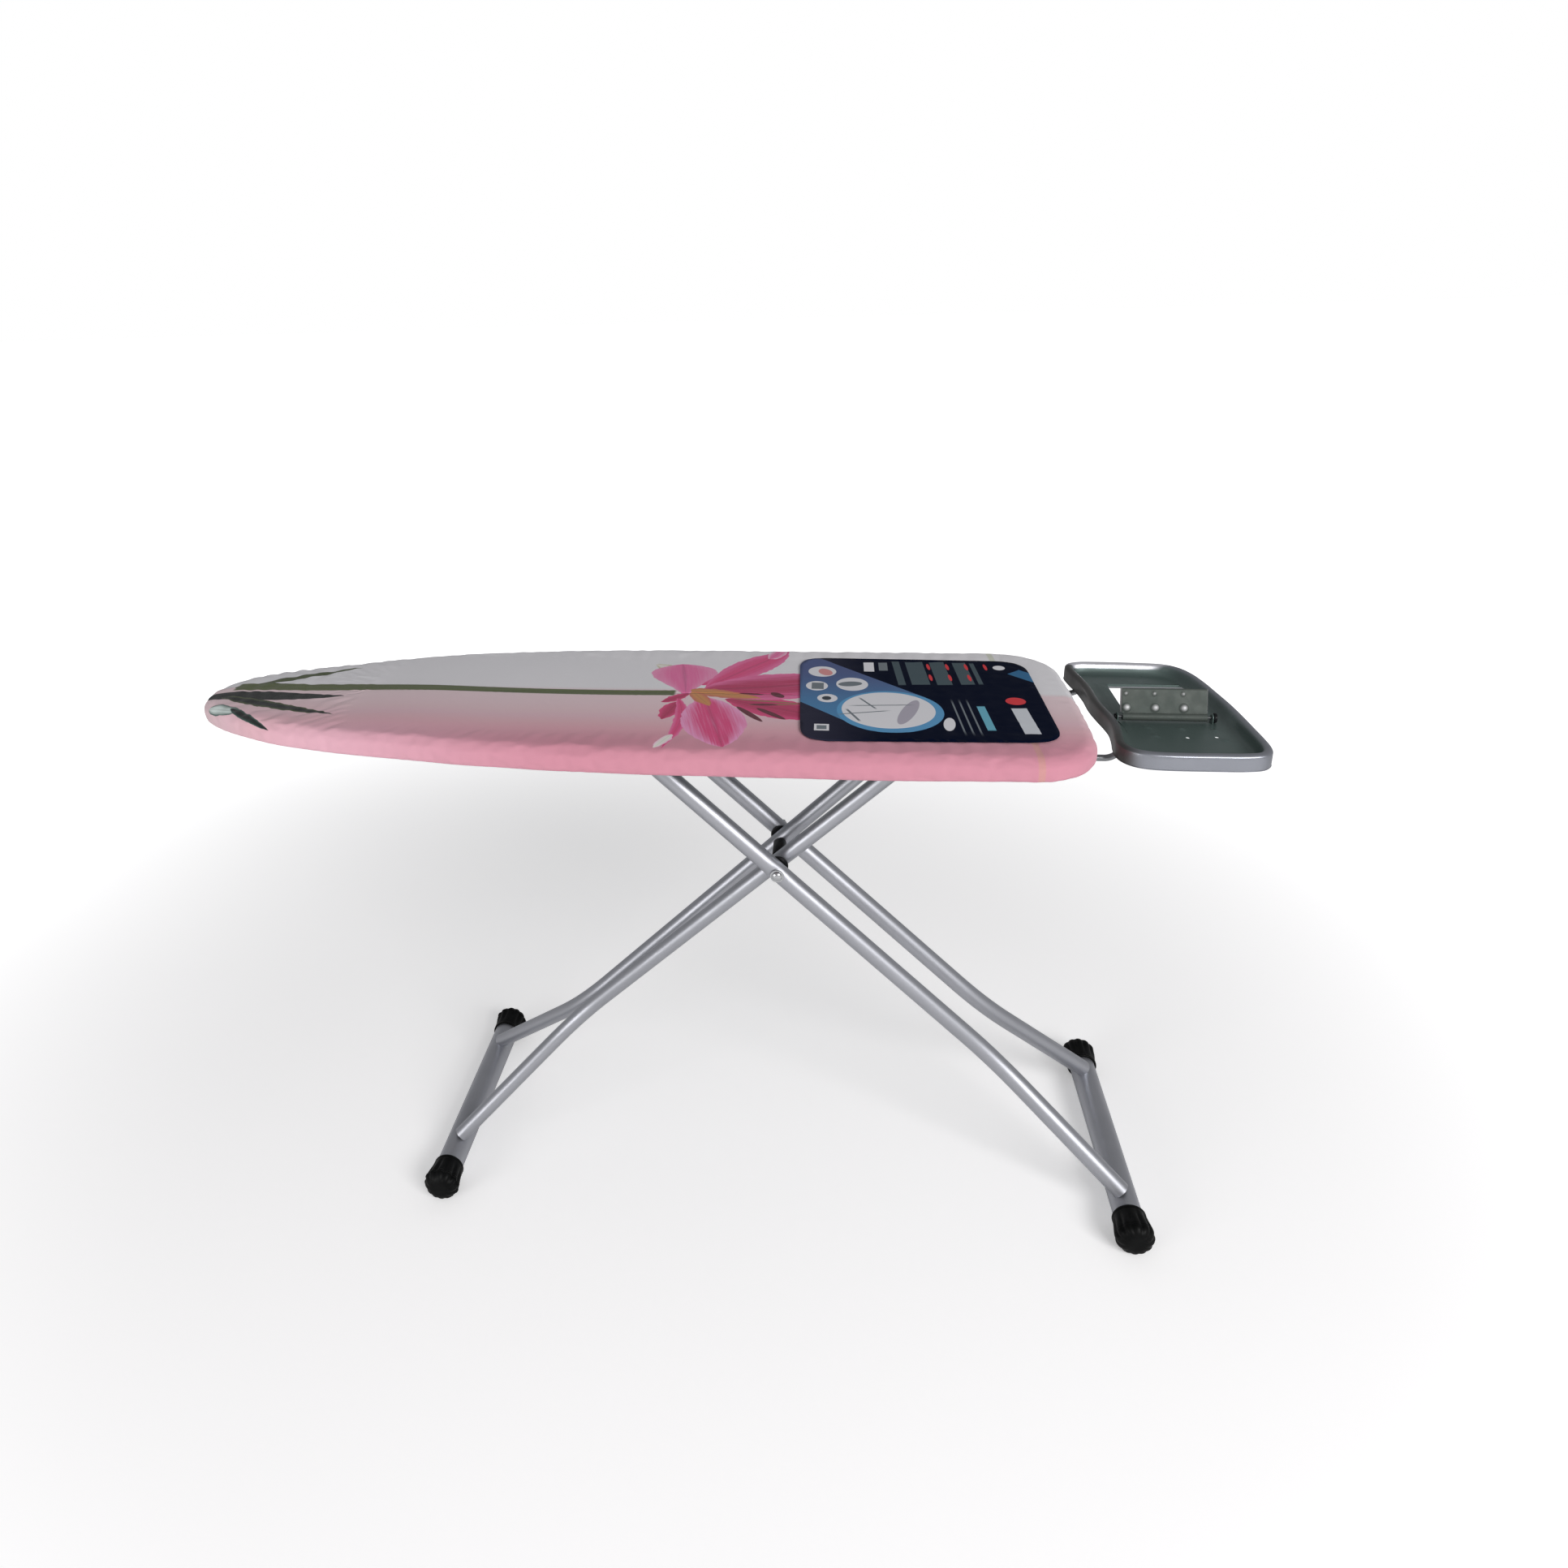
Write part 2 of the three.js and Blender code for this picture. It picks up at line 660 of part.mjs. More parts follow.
// Top bars: the inner frame's turns in two brackets, the outer frame's runs in the rails.
const innerBarHalf = 64;
const outerBarHalf = RAIL_Y + 9;
place(
  "top_bar_inner",
  barY(TOP_BAR_R, -innerBarHalf, innerBarHalf),
  "steel",
  [AXLE_X + topReach, 0, HINGE_Z],
);
place(
  "top_bar_outer",
  barY(TOP_BAR_R, -outerBarHalf, outerBarHalf),
  "steel",
  [AXLE_X - topReach, 0, HINGE_Z],
);
for (const [side, s] of [
  ["near", -1],
  ["far", 1],
]) {
  const inside = RAIL_Y + RAIL_T / 2 + 0.6;
  const roller = sleeveY(9, TOP_BAR_R + GAP, inside, inside + 5);
  const turn = s < 0 ? [0, 0, Math.PI] : [0, 0, 0];
  place("slide_roller_" + side, roller, "plastic", [AXLE_X - topReach, 0, HINGE_Z], turn);
}

// Crossing axle with a domed head at the near side and a nut at the far side.
const axleHalf = OUTER_HALF + OUTER_R;
function axle() {
  const shank = barY(AXLE_R, -axleHalf - 1, axleHalf + 6);
  const head = new THREE.LatheGeometry(
    [
      [0, 0],
      [9, 0],
      [9, 1.6],
      [5.5, 3.8],
      [0, 4.8],
    ].map(([r, h]) => new THREE.Vector2(r, h)),
    18,
  );
  return join(shank, head.rotateX(Math.PI).translate(0, -axleHalf - GAP, 0));
}
place("crossing_axle", axle(), "bolt", [AXLE_X, 0, AXLE_Z]);
const nutBore = (AXLE_R + GAP) / Math.cos(Math.PI / 6);
const nut = sleeveY(8, nutBore, axleHalf + GAP, axleHalf + 5.5, 6);
place("axle_nut", nut, "bolt", [AXLE_X, 0, AXLE_Z]);

// Half spacing of the inner tubes at the axle.
const innerSlope = (INNER_TOP_HALF - INNER_BEND_HALF) / (upperLeg + BEND_AT * lowerLeg);
const innerAtAxle = INNER_TOP_HALF - innerSlope * upperLeg;
const bushFrom = innerAtAxle + INNER_R + 0.8;
const bushTo = OUTER_HALF - OUTER_R - GAP;
for (const [side, turn] of [
  ["near", Math.PI],
  ["far", 0],
]) {
  const bush = sleeveY(14, AXLE_R + GAP, bushFrom, bushTo, 20);
  place("axle_bush_" + side, bush, "plastic", [AXLE_X, 0, AXLE_Z], [0, 0, turn]);
}
const spacerHalf = innerAtAxle - INNER_R - 1;
place("axle_spacer", sleeveY(9, AXLE_R + GAP, -spacerHalf, spacerHalf), "plastic", [AXLE_X, 0, AXLE_Z]);

// ---- underside fittings ----
// Height rail: a plate with a long slot whose lower edge has round notches.
function heightRail() {
  const half = TOP_BAR_R + 0.5;
  const plate = new THREE.Shape();
  plate.moveTo(RAIL_FROM, RAIL_BOTTOM_Z);
  plate.lineTo(RAIL_TO, RAIL_BOTTOM_Z);
  plate.lineTo(RAIL_TO, RIB_BOTTOM_Z - GAP);
  plate.lineTo(RAIL_FROM, RIB_BOTTOM_Z - GAP);
  const slot = new THREE.Path();
  slot.moveTo(SLOT_FROM, HINGE_Z + half);
  slot.lineTo(SLOT_TO, HINGE_Z + half);
  slot.lineTo(SLOT_TO, HINGE_Z - half);
  const pitch = 16;
  for (let k = 0; k < NOTCH_COUNT; k++) {
    const x = SLOT_TO - 8 - k * pitch;
    slot.lineTo(x, HINGE_Z - half);
    slot.quadraticCurveTo(x - 1, HINGE_Z - half - 4, x - 6, HINGE_Z - half - 4);
    slot.quadraticCurveTo(x - 11, HINGE_Z - half - 4, x - 12, HINGE_Z - half);
  }
  slot.lineTo(SLOT_FROM, HINGE_Z - half);
  plate.holes.push(slot);
  const solid = new THREE.ExtrudeGeometry(plate, { depth: RAIL_T, bevelEnabled: false, curveSegments: 2 });
  return solid.rotateX(Math.PI / 2).translate(0, RAIL_T / 2, 0);
}
place("height_rail_near", heightRail(), "steel", [0, -RAIL_Y, 0]);
place("height_rail_far", heightRail(), "steel", [0, RAIL_Y, 0]);

// Hinge brackets of the inner frame.
for (const [side, s] of [
  ["near", -1],
  ["far", 1],
]) {
  const x = AXLE_X + topReach;
  const y0 = s * 57.5;
  const w = RIB_WIDTH / 2;
  const plate = box(x - w, x + w, y0 - 1.5, y0 + 1.5, HINGE_Z - 9, RIB_BOTTOM_Z - GAP);
  const bore = barY(TOP_BAR_R + GAP, -120, 120, x, HINGE_Z);
  place("hinge_bracket_" + side, cut(plate, bore), "steel");
}

// Height lever: a flat bar on the near rail with a grip towards the tray, sprung upwards.
const LEVER = { x: 27, y: -92, z: 672, tail: 150, reach: 96, height: 9, thick: 3 };
function leverArm() {
  const { tail, reach, height, thick } = LEVER;
  const bar = box(-tail, reach, -thick / 2, thick / 2, -height / 2, height / 2);
  const lift = box(-tail - 1, -34, -5, 5, -height, -0.5);
  const bore = barY(3 + GAP, -10, 10, 0, 0, 12);
  return cut(bar, lift, bore);
}
place("lever_arm", leverArm(), "steel", [LEVER.x, LEVER.y, LEVER.z]);
const gripCore = box(LEVER.reach - 40, LEVER.reach + 0.6, -1.9, 1.9, -4.9, 4.9);
const gripBody = new THREE.CapsuleGeometry(9, 52, 4, 12);
gripBody.rotateZ(Math.PI / 2).translate(LEVER.reach - 6, 0, 0);
const gripMouth = box(LEVER.reach - 60, LEVER.reach - 38, -1.9, 1.9, -4.9, 4.9);
place("lever_grip", cut(gripBody, gripCore, gripMouth), "grip", [LEVER.x, LEVER.y, LEVER.z]);
const leverPivot = join(
  barY(3, LEVER.y - 3, -RAIL_Y - RAIL_T / 2 - GAP, 0, 0, 12),
  barY(6, LEVER.y - 4.5, LEVER.y - LEVER.thick / 2 - GAP, 0, 0, 12),
  barY(6, LEVER.y + LEVER.thick / 2 + GAP, -RAIL_Y - RAIL_T / 2 - GAP, 0, 0, 12),
);
place("lever_pivot", leverPivot, "bolt", [LEVER.x, 0, LEVER.z]);

export default board;
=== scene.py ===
"""Looks of the folding ironing board: padded cotton cover, card, metal tray, tubes and feet.

Metres, +Z up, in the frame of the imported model. X runs from the nose of the board (-X) to
the iron tray (+X), Y across it from the near side (-Y) to the far side.
"""

from math import atan2, cos, hypot, pi, radians, sin, sqrt

import bmesh
import bpy
import numpy as np
from mathutils import Matrix, Vector
from mathutils.bvhtree import BVHTree
from mathutils.geometry import delaunay_2d_cdt


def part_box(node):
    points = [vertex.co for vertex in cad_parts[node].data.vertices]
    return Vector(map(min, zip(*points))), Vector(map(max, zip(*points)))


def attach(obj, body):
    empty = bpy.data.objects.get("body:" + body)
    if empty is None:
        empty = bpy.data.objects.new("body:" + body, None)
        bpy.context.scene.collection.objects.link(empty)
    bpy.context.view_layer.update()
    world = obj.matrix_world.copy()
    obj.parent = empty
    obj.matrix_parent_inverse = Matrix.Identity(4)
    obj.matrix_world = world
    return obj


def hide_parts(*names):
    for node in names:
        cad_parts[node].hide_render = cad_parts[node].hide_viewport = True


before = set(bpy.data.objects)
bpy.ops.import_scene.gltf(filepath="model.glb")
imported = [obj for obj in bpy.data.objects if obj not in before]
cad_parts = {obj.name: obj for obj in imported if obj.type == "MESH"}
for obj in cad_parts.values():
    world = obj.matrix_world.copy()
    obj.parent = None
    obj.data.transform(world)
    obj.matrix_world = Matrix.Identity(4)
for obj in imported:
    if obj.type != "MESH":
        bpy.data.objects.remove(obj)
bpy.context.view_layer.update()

MM = 0.001

# ---- sizes, as in the CAD model ----
BOARD_LOW, BOARD_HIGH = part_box("cover")
NOSE_X = BOARD_LOW.x
BOARD_END = BOARD_HIGH.x
HALF_WIDTH = BOARD_HIGH.y
TOP_Z = BOARD_HIGH.z
COVER_BOTTOM_Z = BOARD_LOW.z
NOSE_LENGTH = 0.695
END_CORNER = 0.080
END_BOW = 0.0025
HEM_WIDTH = 0.022
PAD_LOW, PAD_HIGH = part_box("pad")

AXLE = Vector((0.118, 0, 0.484))
LEG_REACH = 0.477
LEG_END_Z = 0.031
HINGE_Z = 0.668
FOOT_Z = 0.024
FOOT_R = 0.019
FOOT_HALF = 0.189
CAP_NECK = 0.151
CAP_HALF = 0.197
CAP_R = 0.025
FLUTES = 12
BEND_AT = 0.63
OUTER = {"dir": 1, "radius": 0.0125, "halves": (0.059, 0.059, 0.124)}
INNER = {"dir": -1, "radius": 0.011, "halves": (0.040, 0.016, 0.108)}

TRAY_LOW, TRAY_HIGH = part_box("tray_pan")
TRAY_RIM_Z = 0.7095
TRAY_FLOOR_Z = 0.6955
TRAY_SKIRT_Z = 0.6895
TRAY_T = 0.0012
DOT_R = 0.0042
DOT_HEIGHT = 0.0017
WINDOW = ((0.557, 0.014), (0.660, 0.014), (0.660, 0.110), (0.557, 0.110))
BOLT_HOLES = ((0.611, -0.071), (0.645, -0.068))
STOP_HINGE = Vector((0.596, -0.023, 0.702))
STOP_HALF = 0.051
STOP_HEIGHT = 0.035
STOP_LEAN = radians(20)
STOP_BUMPS = (-0.045, -0.011, 0.023)
STOP_CURL = 0.0040  # radius of the foot rolled round the pin
FLOOR_DOTS = ((0.572, -0.041), (0.575, -0.068), (0.611, -0.044), (0.649, -0.049), (0.651, -0.077))


# ---- node helpers ----
class Wire:
    """A node's output. Sums and products of wires and numbers are Math nodes."""
    tree = None  # the node tree that the helpers add to

    def __init__(self, socket):
        self.socket = socket

    def __add__(self, other):
        return calc("ADD", self, other)

    def __sub__(self, other):
        return calc("SUBTRACT", self, other)

    def __rsub__(self, other):
        return calc("SUBTRACT", other, self)

    def __mul__(self, other):
        return calc("MULTIPLY", self, other)

    def __truediv__(self, other):
        return calc("DIVIDE", self, other)


def link(socket, value):
    if isinstance(value, Wire):
        Wire.tree.links.new(value.socket, socket)
    else:
        socket.default_value = value


def add(kind, inputs=None, output=0, **settings):
    """Adds a node to the tree and gives one of its outputs."""
    node = Wire.tree.nodes.new(kind)
    for name, value in settings.items():
        setattr(node, name, value)
    for name, value in (inputs or {}).items():
        link(node.inputs[name], value)
    return Wire(node.outputs[output])


def feed(shader, **inputs):
    for name, value in inputs.items():
        link(shader.inputs[name.replace("_", " ")], value)


def calc(operation, a, b=0.0, clamp=False):
    return add("ShaderNodeMath", {0: a, 1: b}, operation=operation, use_clamp=clamp)


def vector(operation, a, b=(0, 0, 0)):
    output = "Value" if operation == "LENGTH" else "Vector"
    return add("ShaderNodeVectorMath", {0: a, 1: b}, output, operation=operation)


def split(value):
    return [add("ShaderNodeSeparateXYZ", {0: value}, axis) for axis in "XYZ"]


def pack(x, y, z=0.0):
    return add("ShaderNodeCombineXYZ", {0: x, 1: y, 2: z})


def mix(share, a, b, blend="MIX"):
    return add("ShaderNodeMix", {0: share, 6: a, 7: b}, 2, data_type="RGBA", blend_type=blend)


def band(value, low, high, start=0.0, stop=1.0):
    """value between low and high, mapped smoothly to start..stop."""
    inputs = {"Value": value, "From Min": low, "From Max": high, "To Min": start, "To Max": stop}
    return add("ShaderNodeMapRange", inputs, interpolation_type="SMOOTHSTEP")


def noise(place, scale, detail=2.0):
    return add("ShaderNodeTexNoise", {"Vector": place, "Scale": scale, "Detail": detail})


def ramp(value, stops):
    wire = add("ShaderNodeValToRGB", {0: value})
    elements = wire.socket.node.color_ramp.elements
    while len(elements) < len(stops):
        elements.new(0.5)
    for element, (position, shade) in zip(elements, stops):
        element.position = position
        element.color = shade
    return wire


def dye(red, green, blue):
    """Linear colour of a dye given in display values from 0 to 255."""
    def linear(v):
        v /= 255
        return v / 12.92 if v < 0.04045 else ((v + 0.055) / 1.055) ** 2.4
    return (linear(red), linear(green), linear(blue), 1.0)


def new_material(name, colour, **principled):
    material = bpy.data.materials.new(name)
    material.use_nodes = True
    material.diffuse_color = colour
    Wire.tree = material.node_tree
    shader = Wire.tree.nodes["Principled BSDF"]
    shader.inputs["Base Color"].default_value = colour
    for socket, value in principled.items():
        shader.inputs[socket.replace("_", " ")].default_value = value
    return material, shader, add("ShaderNodeTexCoord", output="Object")


def bump(shader, height, distance, strength=1.0):
    inputs = {"Height": height, "Distance": distance, "Strength": strength}
    feed(shader, Normal=add("ShaderNodeBump", inputs))


def new_group(name, sockets):
    """A node group: sockets is [(name, type, default), ...] and its one output is a colour."""
    group = bpy.data.node_groups.new(name, "ShaderNodeTree")
    for label, kind, default in sockets:
        socket = group.interface.new_socket(label, in_out="INPUT", socket_type="NodeSocket" + kind)
        socket.default_value = default
    group.interface.new_socket("Colour", in_out="OUTPUT", socket_type="NodeSocketColor")
    Wire.tree = group
    given = {socket.name: Wire(socket) for socket in group.nodes.new("NodeGroupInput").outputs}
    return group, given, group.nodes.new("NodeGroupOutput").inputs[0]


def local_place(given):
    """The place measured from Centre, turned back by Turn."""
    moved = vector("SUBTRACT", given["Place"], given["Centre"])
    back = given["Turn"] * (-1.0)
    inputs = {"Vector": moved, "Angle": back}
    return add("ShaderNodeVectorRotate", inputs, rotation_type="Z_AXIS")


def make_stamp_group():
    """Prints a flat box (Round 0) or an ellipse (Round 1) in one colour over another."""
    group, given, out = new_group("stamp", [
        ("Under", "Color", (1, 1, 1, 1)), ("Ink", "Color", (1, 1, 1, 1)),
        ("Place", "Vector", (0, 0, 0)), ("Centre", "Vector", (0, 0, 0)),
        ("Half", "Vector", (0.01, 0.01, 1)), ("Turn", "Float", 0.0), ("Round", "Float", 0.0),
    ])
    x, y, _ = split(vector("ABSOLUTE", local_place(given)))
    half_x, half_y, _ = split(given["Half"])
    across = x / half_x
    along = y / half_y
    box = calc("MAXIMUM", across, along)
    ellipse = vector("LENGTH", pack(across, along))
    far = ellipse - box
    far = far * given["Round"]
    far = far + box
    outside = (far - 1.0) * calc("MINIMUM", half_x, half_y)
    share = band(outside, -0.0003, 0.0003, 1.0, 0.0)
    link(out, mix(share, given["Under"], given["Ink"]))
    return group


def make_petal_group():
    """Prints a petal or a leaf: it starts at Centre, runs Length along Turn and bends sideways."""
    group, given, out = new_group("petal", [
        ("Under", "Color", (1, 1, 1, 1)), ("Vein", "Color", (1, 1, 1, 1)),
        ("Edge", "Color", (1, 1, 1, 1)), ("Place", "Vector", (0, 0, 0)),
        ("Centre", "Vector", (0, 0, 0)), ("Turn", "Float", 0.0), ("Length", "Float", 0.1),
        ("Width", "Float", 0.02), ("Bend", "Float", 0.0), ("Belly", "Float", 1.0),
        ("Streaks", "Float", 0.5), ("Fray", "Float", 0.0),
    ])
    x, y, _ = split(local_place(given))
    u = calc("DIVIDE", x, given["Length"], clamp=True)
    bend = u * u * given["Bend"]
    y = y - bend * given["Length"]
    ragged = noise(given["Place"], 90.0, 3.0) - 0.5
    y_edge = y + ragged * given["Fray"]
    swell = calc("SINE", calc("POWER", u, given["Belly"]) * pi)
    half = calc("POWER", calc("MAXIMUM", swell, 0.0), 0.7) * given["Width"]
    depth = half - calc("ABSOLUTE", y_edge)
    inside = band(depth, -0.0004, 0.0009)
    inside = inside * calc("GREATER_THAN", x, 0.0)
    inside = inside * calc("LESS_THAN", x, given["Length"])
    v = calc("ABSOLUTE", y) / calc("MAXIMUM", half, 0.001)
    pale = band(v, 0.25, 1.05)
    lines = noise(pack(u * 2.5, y * 420.0), 1.0, 2.0)
    lines = (lines - 0.5) * given["Streaks"]
    pale = calc("ADD", pale, lines * 1.6, clamp=True)
    groove = band(v, 0.0, 0.12, 0.8, 1.0)
    groove = calc("MAXIMUM", groove, 1.0 - given["Streaks"])
    tint = mix(pale, given["Vein"], given["Edge"])
    tint = mix(1.0, tint, pack(groove, groove, groove), "MULTIPLY")
    link(out, mix(inside, given["Under"], tint))
    return group


STAMP = make_stamp_group()
PETAL = make_petal_group()


def stamp(place, under, ink, centre, half, turn=0.0, round_=0.0):
    inputs = {
        "Under": under, "Ink": ink, "Place": place, "Centre": (*centre, 0), "Half": (*half, 1),
        "Turn": radians(turn), "Round": round_,
    }
    return add("ShaderNodeGroup", inputs, node_tree=STAMP)


def petal(place, under, vein, edge, centre, turn, length, width, **shape):
    inputs = {
        "Under": under, "Vein": vein, "Edge": edge, "Place": place, "Centre": (*centre, 0),
        "Turn": radians(turn), "Length": length, "Width": width,
    }
    inputs.update({name.capitalize(): value for name, value in shape.items()})
    return add("ShaderNodeGroup", inputs, node_tree=PETAL)


# ---- materials ----
PINKS = [  # dyes of the near half, from the middle of the board to its edge and side
    (0.0, dye(232, 210, 214)), (0.175, dye(231, 205, 210)), (0.32, dye(229, 199, 204)),
    (0.466, dye(227, 190, 199)), (0.61, dye(226, 181, 189)), (0.757, dye(224, 168, 180)),
    (0.93, dye(212, 146, 163)), (1.0, dye(209, 142, 159)),
]
NOSE_PALE = 0.7  # how far the pink fades towards the nose
THREAD_PITCH = 0.0011


def cover_material():
    """Printed cotton: pale far half, pink near half, a lily with its stem and leaves."""
    material, shader, place = new_material("printed_cotton", dye(240, 190, 205), Roughness=0.88)
    shader.inputs["Sheen Weight"].default_value = 0.08
    x, y, z = split(place)
    side = y * 1000.0
    side = calc("MINIMUM", calc("MAXIMUM", side, -1.0), 1.0)
    fallen = calc("MAXIMUM", TOP_Z - 0.006 - z, 0.0)
    flat = pack(x, y + fallen * side)
    soft = noise(place, 3.0, 2.0)
    y_soft = y + (soft - 0.5) * 0.03
    near = band(y_soft, 0.016, -0.190)
    pink = ramp(near, PINKS)
    pale = band(x, -0.10, -0.66)
    pale = pale * band(near, 0.45, 0.95, 0.0, NOSE_PALE)
    pink = mix(pale, pink, dye(246, 204, 218))
    white = mix(noise(place, 6.0, 2.0), dye(230, 230, 233), dye(236, 235, 238))
    colour = mix(band(y, 0.020, 0.004), white, pink)
    for print_on in (leaves, lily):
        colour = print_on(flat, colour)
    thread = weave(place)
    colour = mix(thread * 0.10, colour, dye(150, 120, 128), "MULTIPLY")
    feed(shader, Base_Color=colour)
    rough = band(noise(place, 240.0, 2.0), 0.2, 0.8, 0.80, 0.96)
    feed(shader, Roughness=rough)
    slub = noise(place, 160.0, 3.0) * 0.7
    bump(shader, thread + slub, 0.00018, 0.55)
    return material


def weave(place, pitch=THREAD_PITCH):
    """Plain weave as a height from 0 to 1."""
    turn = 2 * pi / pitch
    x, y, z = split(place)
    side = y + z
    warp = calc("SINE", x * turn)
    weft = calc("SINE", side * turn)
    return calc("MULTIPLY_ADD", warp * weft, 0.5)


def leaves(place, colour):
    """The long green stem and the dark blades that fan out from the nose."""
    olive, moss, dark = dye(104, 113, 74), dye(76, 88, 54), dye(14, 22, 22)
    teal, brown, frost = dye(60, 92, 84), dye(206, 160, 130), dye(205, 218, 214)
    blades = [
        (moss, dye(70, 80, 50), (-0.630, 0.018), 32.0, 0.154, 0.0080, -0.03, 0.002),
        (moss, moss, (-0.652, 0.010), 8.0, 0.090, 0.0120, 0.0, 0.003),
        (frost, teal, (-0.657, -0.060), -20.0, 0.066, 0.0125, 0.06, 0.006),
        (dark, dark, (-0.690, -0.020), -2.0, 0.215, 0.0165, 0.03, 0.003),
        (dark, moss, (-0.652, -0.026), -19.0, 0.200, 0.0105, 0.02, 0.006),
        (dark, teal, (-0.616, -0.068), -37.0, 0.096, 0.0070, 0.0, 0.003),
    ]
    for vein, edge, start, turn, length, width, bend, fray in blades:
        shape = {"bend": bend, "belly": 0.7, "streaks": 0.5, "fray": fray}
        colour = petal(place, colour, vein, edge, start, turn, length, width, **shape)
    x, y, _ = split(place)
    wave = calc("SINE", x * 9.0) * 0.0035
    middle = wave + band(x, -0.45, -0.02, 0.0095, 0.0005)
    off = calc("ABSOLUTE", y - middle)
    thick = band(x, -0.66, -0.20, 0.0122, 0.0088)
    on_stem = band(off - thick, 0.0012, -0.0006)
    on_stem = on_stem * band(x, -0.018, -0.022)
    on_stem = on_stem * band(x, -0.652, -0.646)
    lit = noise(pack(x * 12.0, y * 300.0), 1.0, 2.0)
    colour = mix(on_stem, colour, mix(lit, moss, olive))
    lean = y * 0.037 + (x + -0.4144)
    on_twig = band(calc("ABSOLUTE", lean), 0.0048, 0.0030)
    twig = mix(band(y, 0.05, 0.12), brown, dye(186, 194, 140))
    return mix(on_twig * 0.42, colour, twig)


def lily(place, colour):
    """A pink lily with pale petal edges, an orange throat and dark stamens."""
    rose, deep, wine = dye(232, 112, 166), dye(222, 70, 128), dye(186, 46, 96)
    pale, amber, frost = dye(244, 206, 226), dye(206, 142, 84), dye(238, 234, 226)
    petals = [
        (frost, dye(196, 190, 150), (-0.018, 0.078), 139.0, 0.056, 0.012, 0.05, 1.0, 0.4),
        (rose, dye(236, 150, 190), (-0.003, -0.024), 96.5, 0.140, 0.046, 0.04, 2.2, 0.7),
        (deep, rose, (0.012, 0.030), 40.0, 0.060, 0.012, 0.10, 1.0, 0.5),
        (wine, deep, (-0.012, -0.032), -100.0, 0.062, 0.014, -0.05, 0.8, 0.3),
        (wine, deep, (-0.034, -0.034), 38.0, 0.046, 0.010, 0.10, 1.0, 0.4),
        (deep, rose, (-0.014, -0.020), -70.0, 0.150, 0.0095, -0.36, 0.9, 0.5),
        (frost, pale, (-0.006, -0.138), -108.0, 0.042, 0.0075, -0.10, 0.9, 0.2),
        (deep, rose, (0.018, 0.020), 57.0, 0.188, 0.029, -0.02, 1.15, 0.8),
        (rose, pale, (0.098, 0.140), 62.0, 0.056, 0.012, 0.12, 0.9, 0.6),
        (wine, deep, (0.048, -0.020), -24.0, 0.150, 0.031, 0.02, 1.1, 0.7),
        (wine, rose, (0.016, 0.012), 9.0, 0.225, 0.049, 0.04, 0.85, 1.0),
        (deep, dye(238, 160, 204), (0.020, -0.014), -75.0, 0.164, 0.041, -0.02, 1.0, 1.0),
        (amber, dye(200, 110, 92), (0.000, 0.012), -19.0, 0.100, 0.014, 0.05, 0.7, 0.6),
        (amber, dye(200, 110, 92), (0.002, 0.006), -60.0, 0.058, 0.011, 0.0, 0.9, 0.5),
    ]
    for vein, edge, start, turn, length, width, bend, belly, streaks in petals:
        shape = {"bend": bend, "belly": belly, "streaks": streaks, "fray": 0.007}
        colour = petal(place, colour, vein, edge, start, turn, length, width, **shape)
    dark, stalk = dye(96, 30, 46), dye(150, 112, 84)
    threads = [
        (stalk, (0.060, -0.020), -8.0, 0.090, 0.0022), (stalk, (0.082, -0.040), 5.0, 0.066, 0.0020),
        (dark, (0.066, 0.001), -6.0, 0.032, 0.0028), (dark, (0.108, 0.006), -48.0, 0.024, 0.0062),
        (dark, (0.082, -0.038), 0.0, 0.036, 0.0030), (dark, (0.066, -0.046), -54.0, 0.060, 0.0046),
        (dark, (0.092, -0.050), -44.0, 0.052, 0.0046),
    ]
    for ink, start, turn, length, width in threads:
        lean = radians(turn)
        centre = (start[0] + length / 2 * cos(lean), start[1] + length / 2 * sin(lean))
        colour = stamp(place, colour, ink, centre, (length / 2, width), turn, 1.0)
    return colour


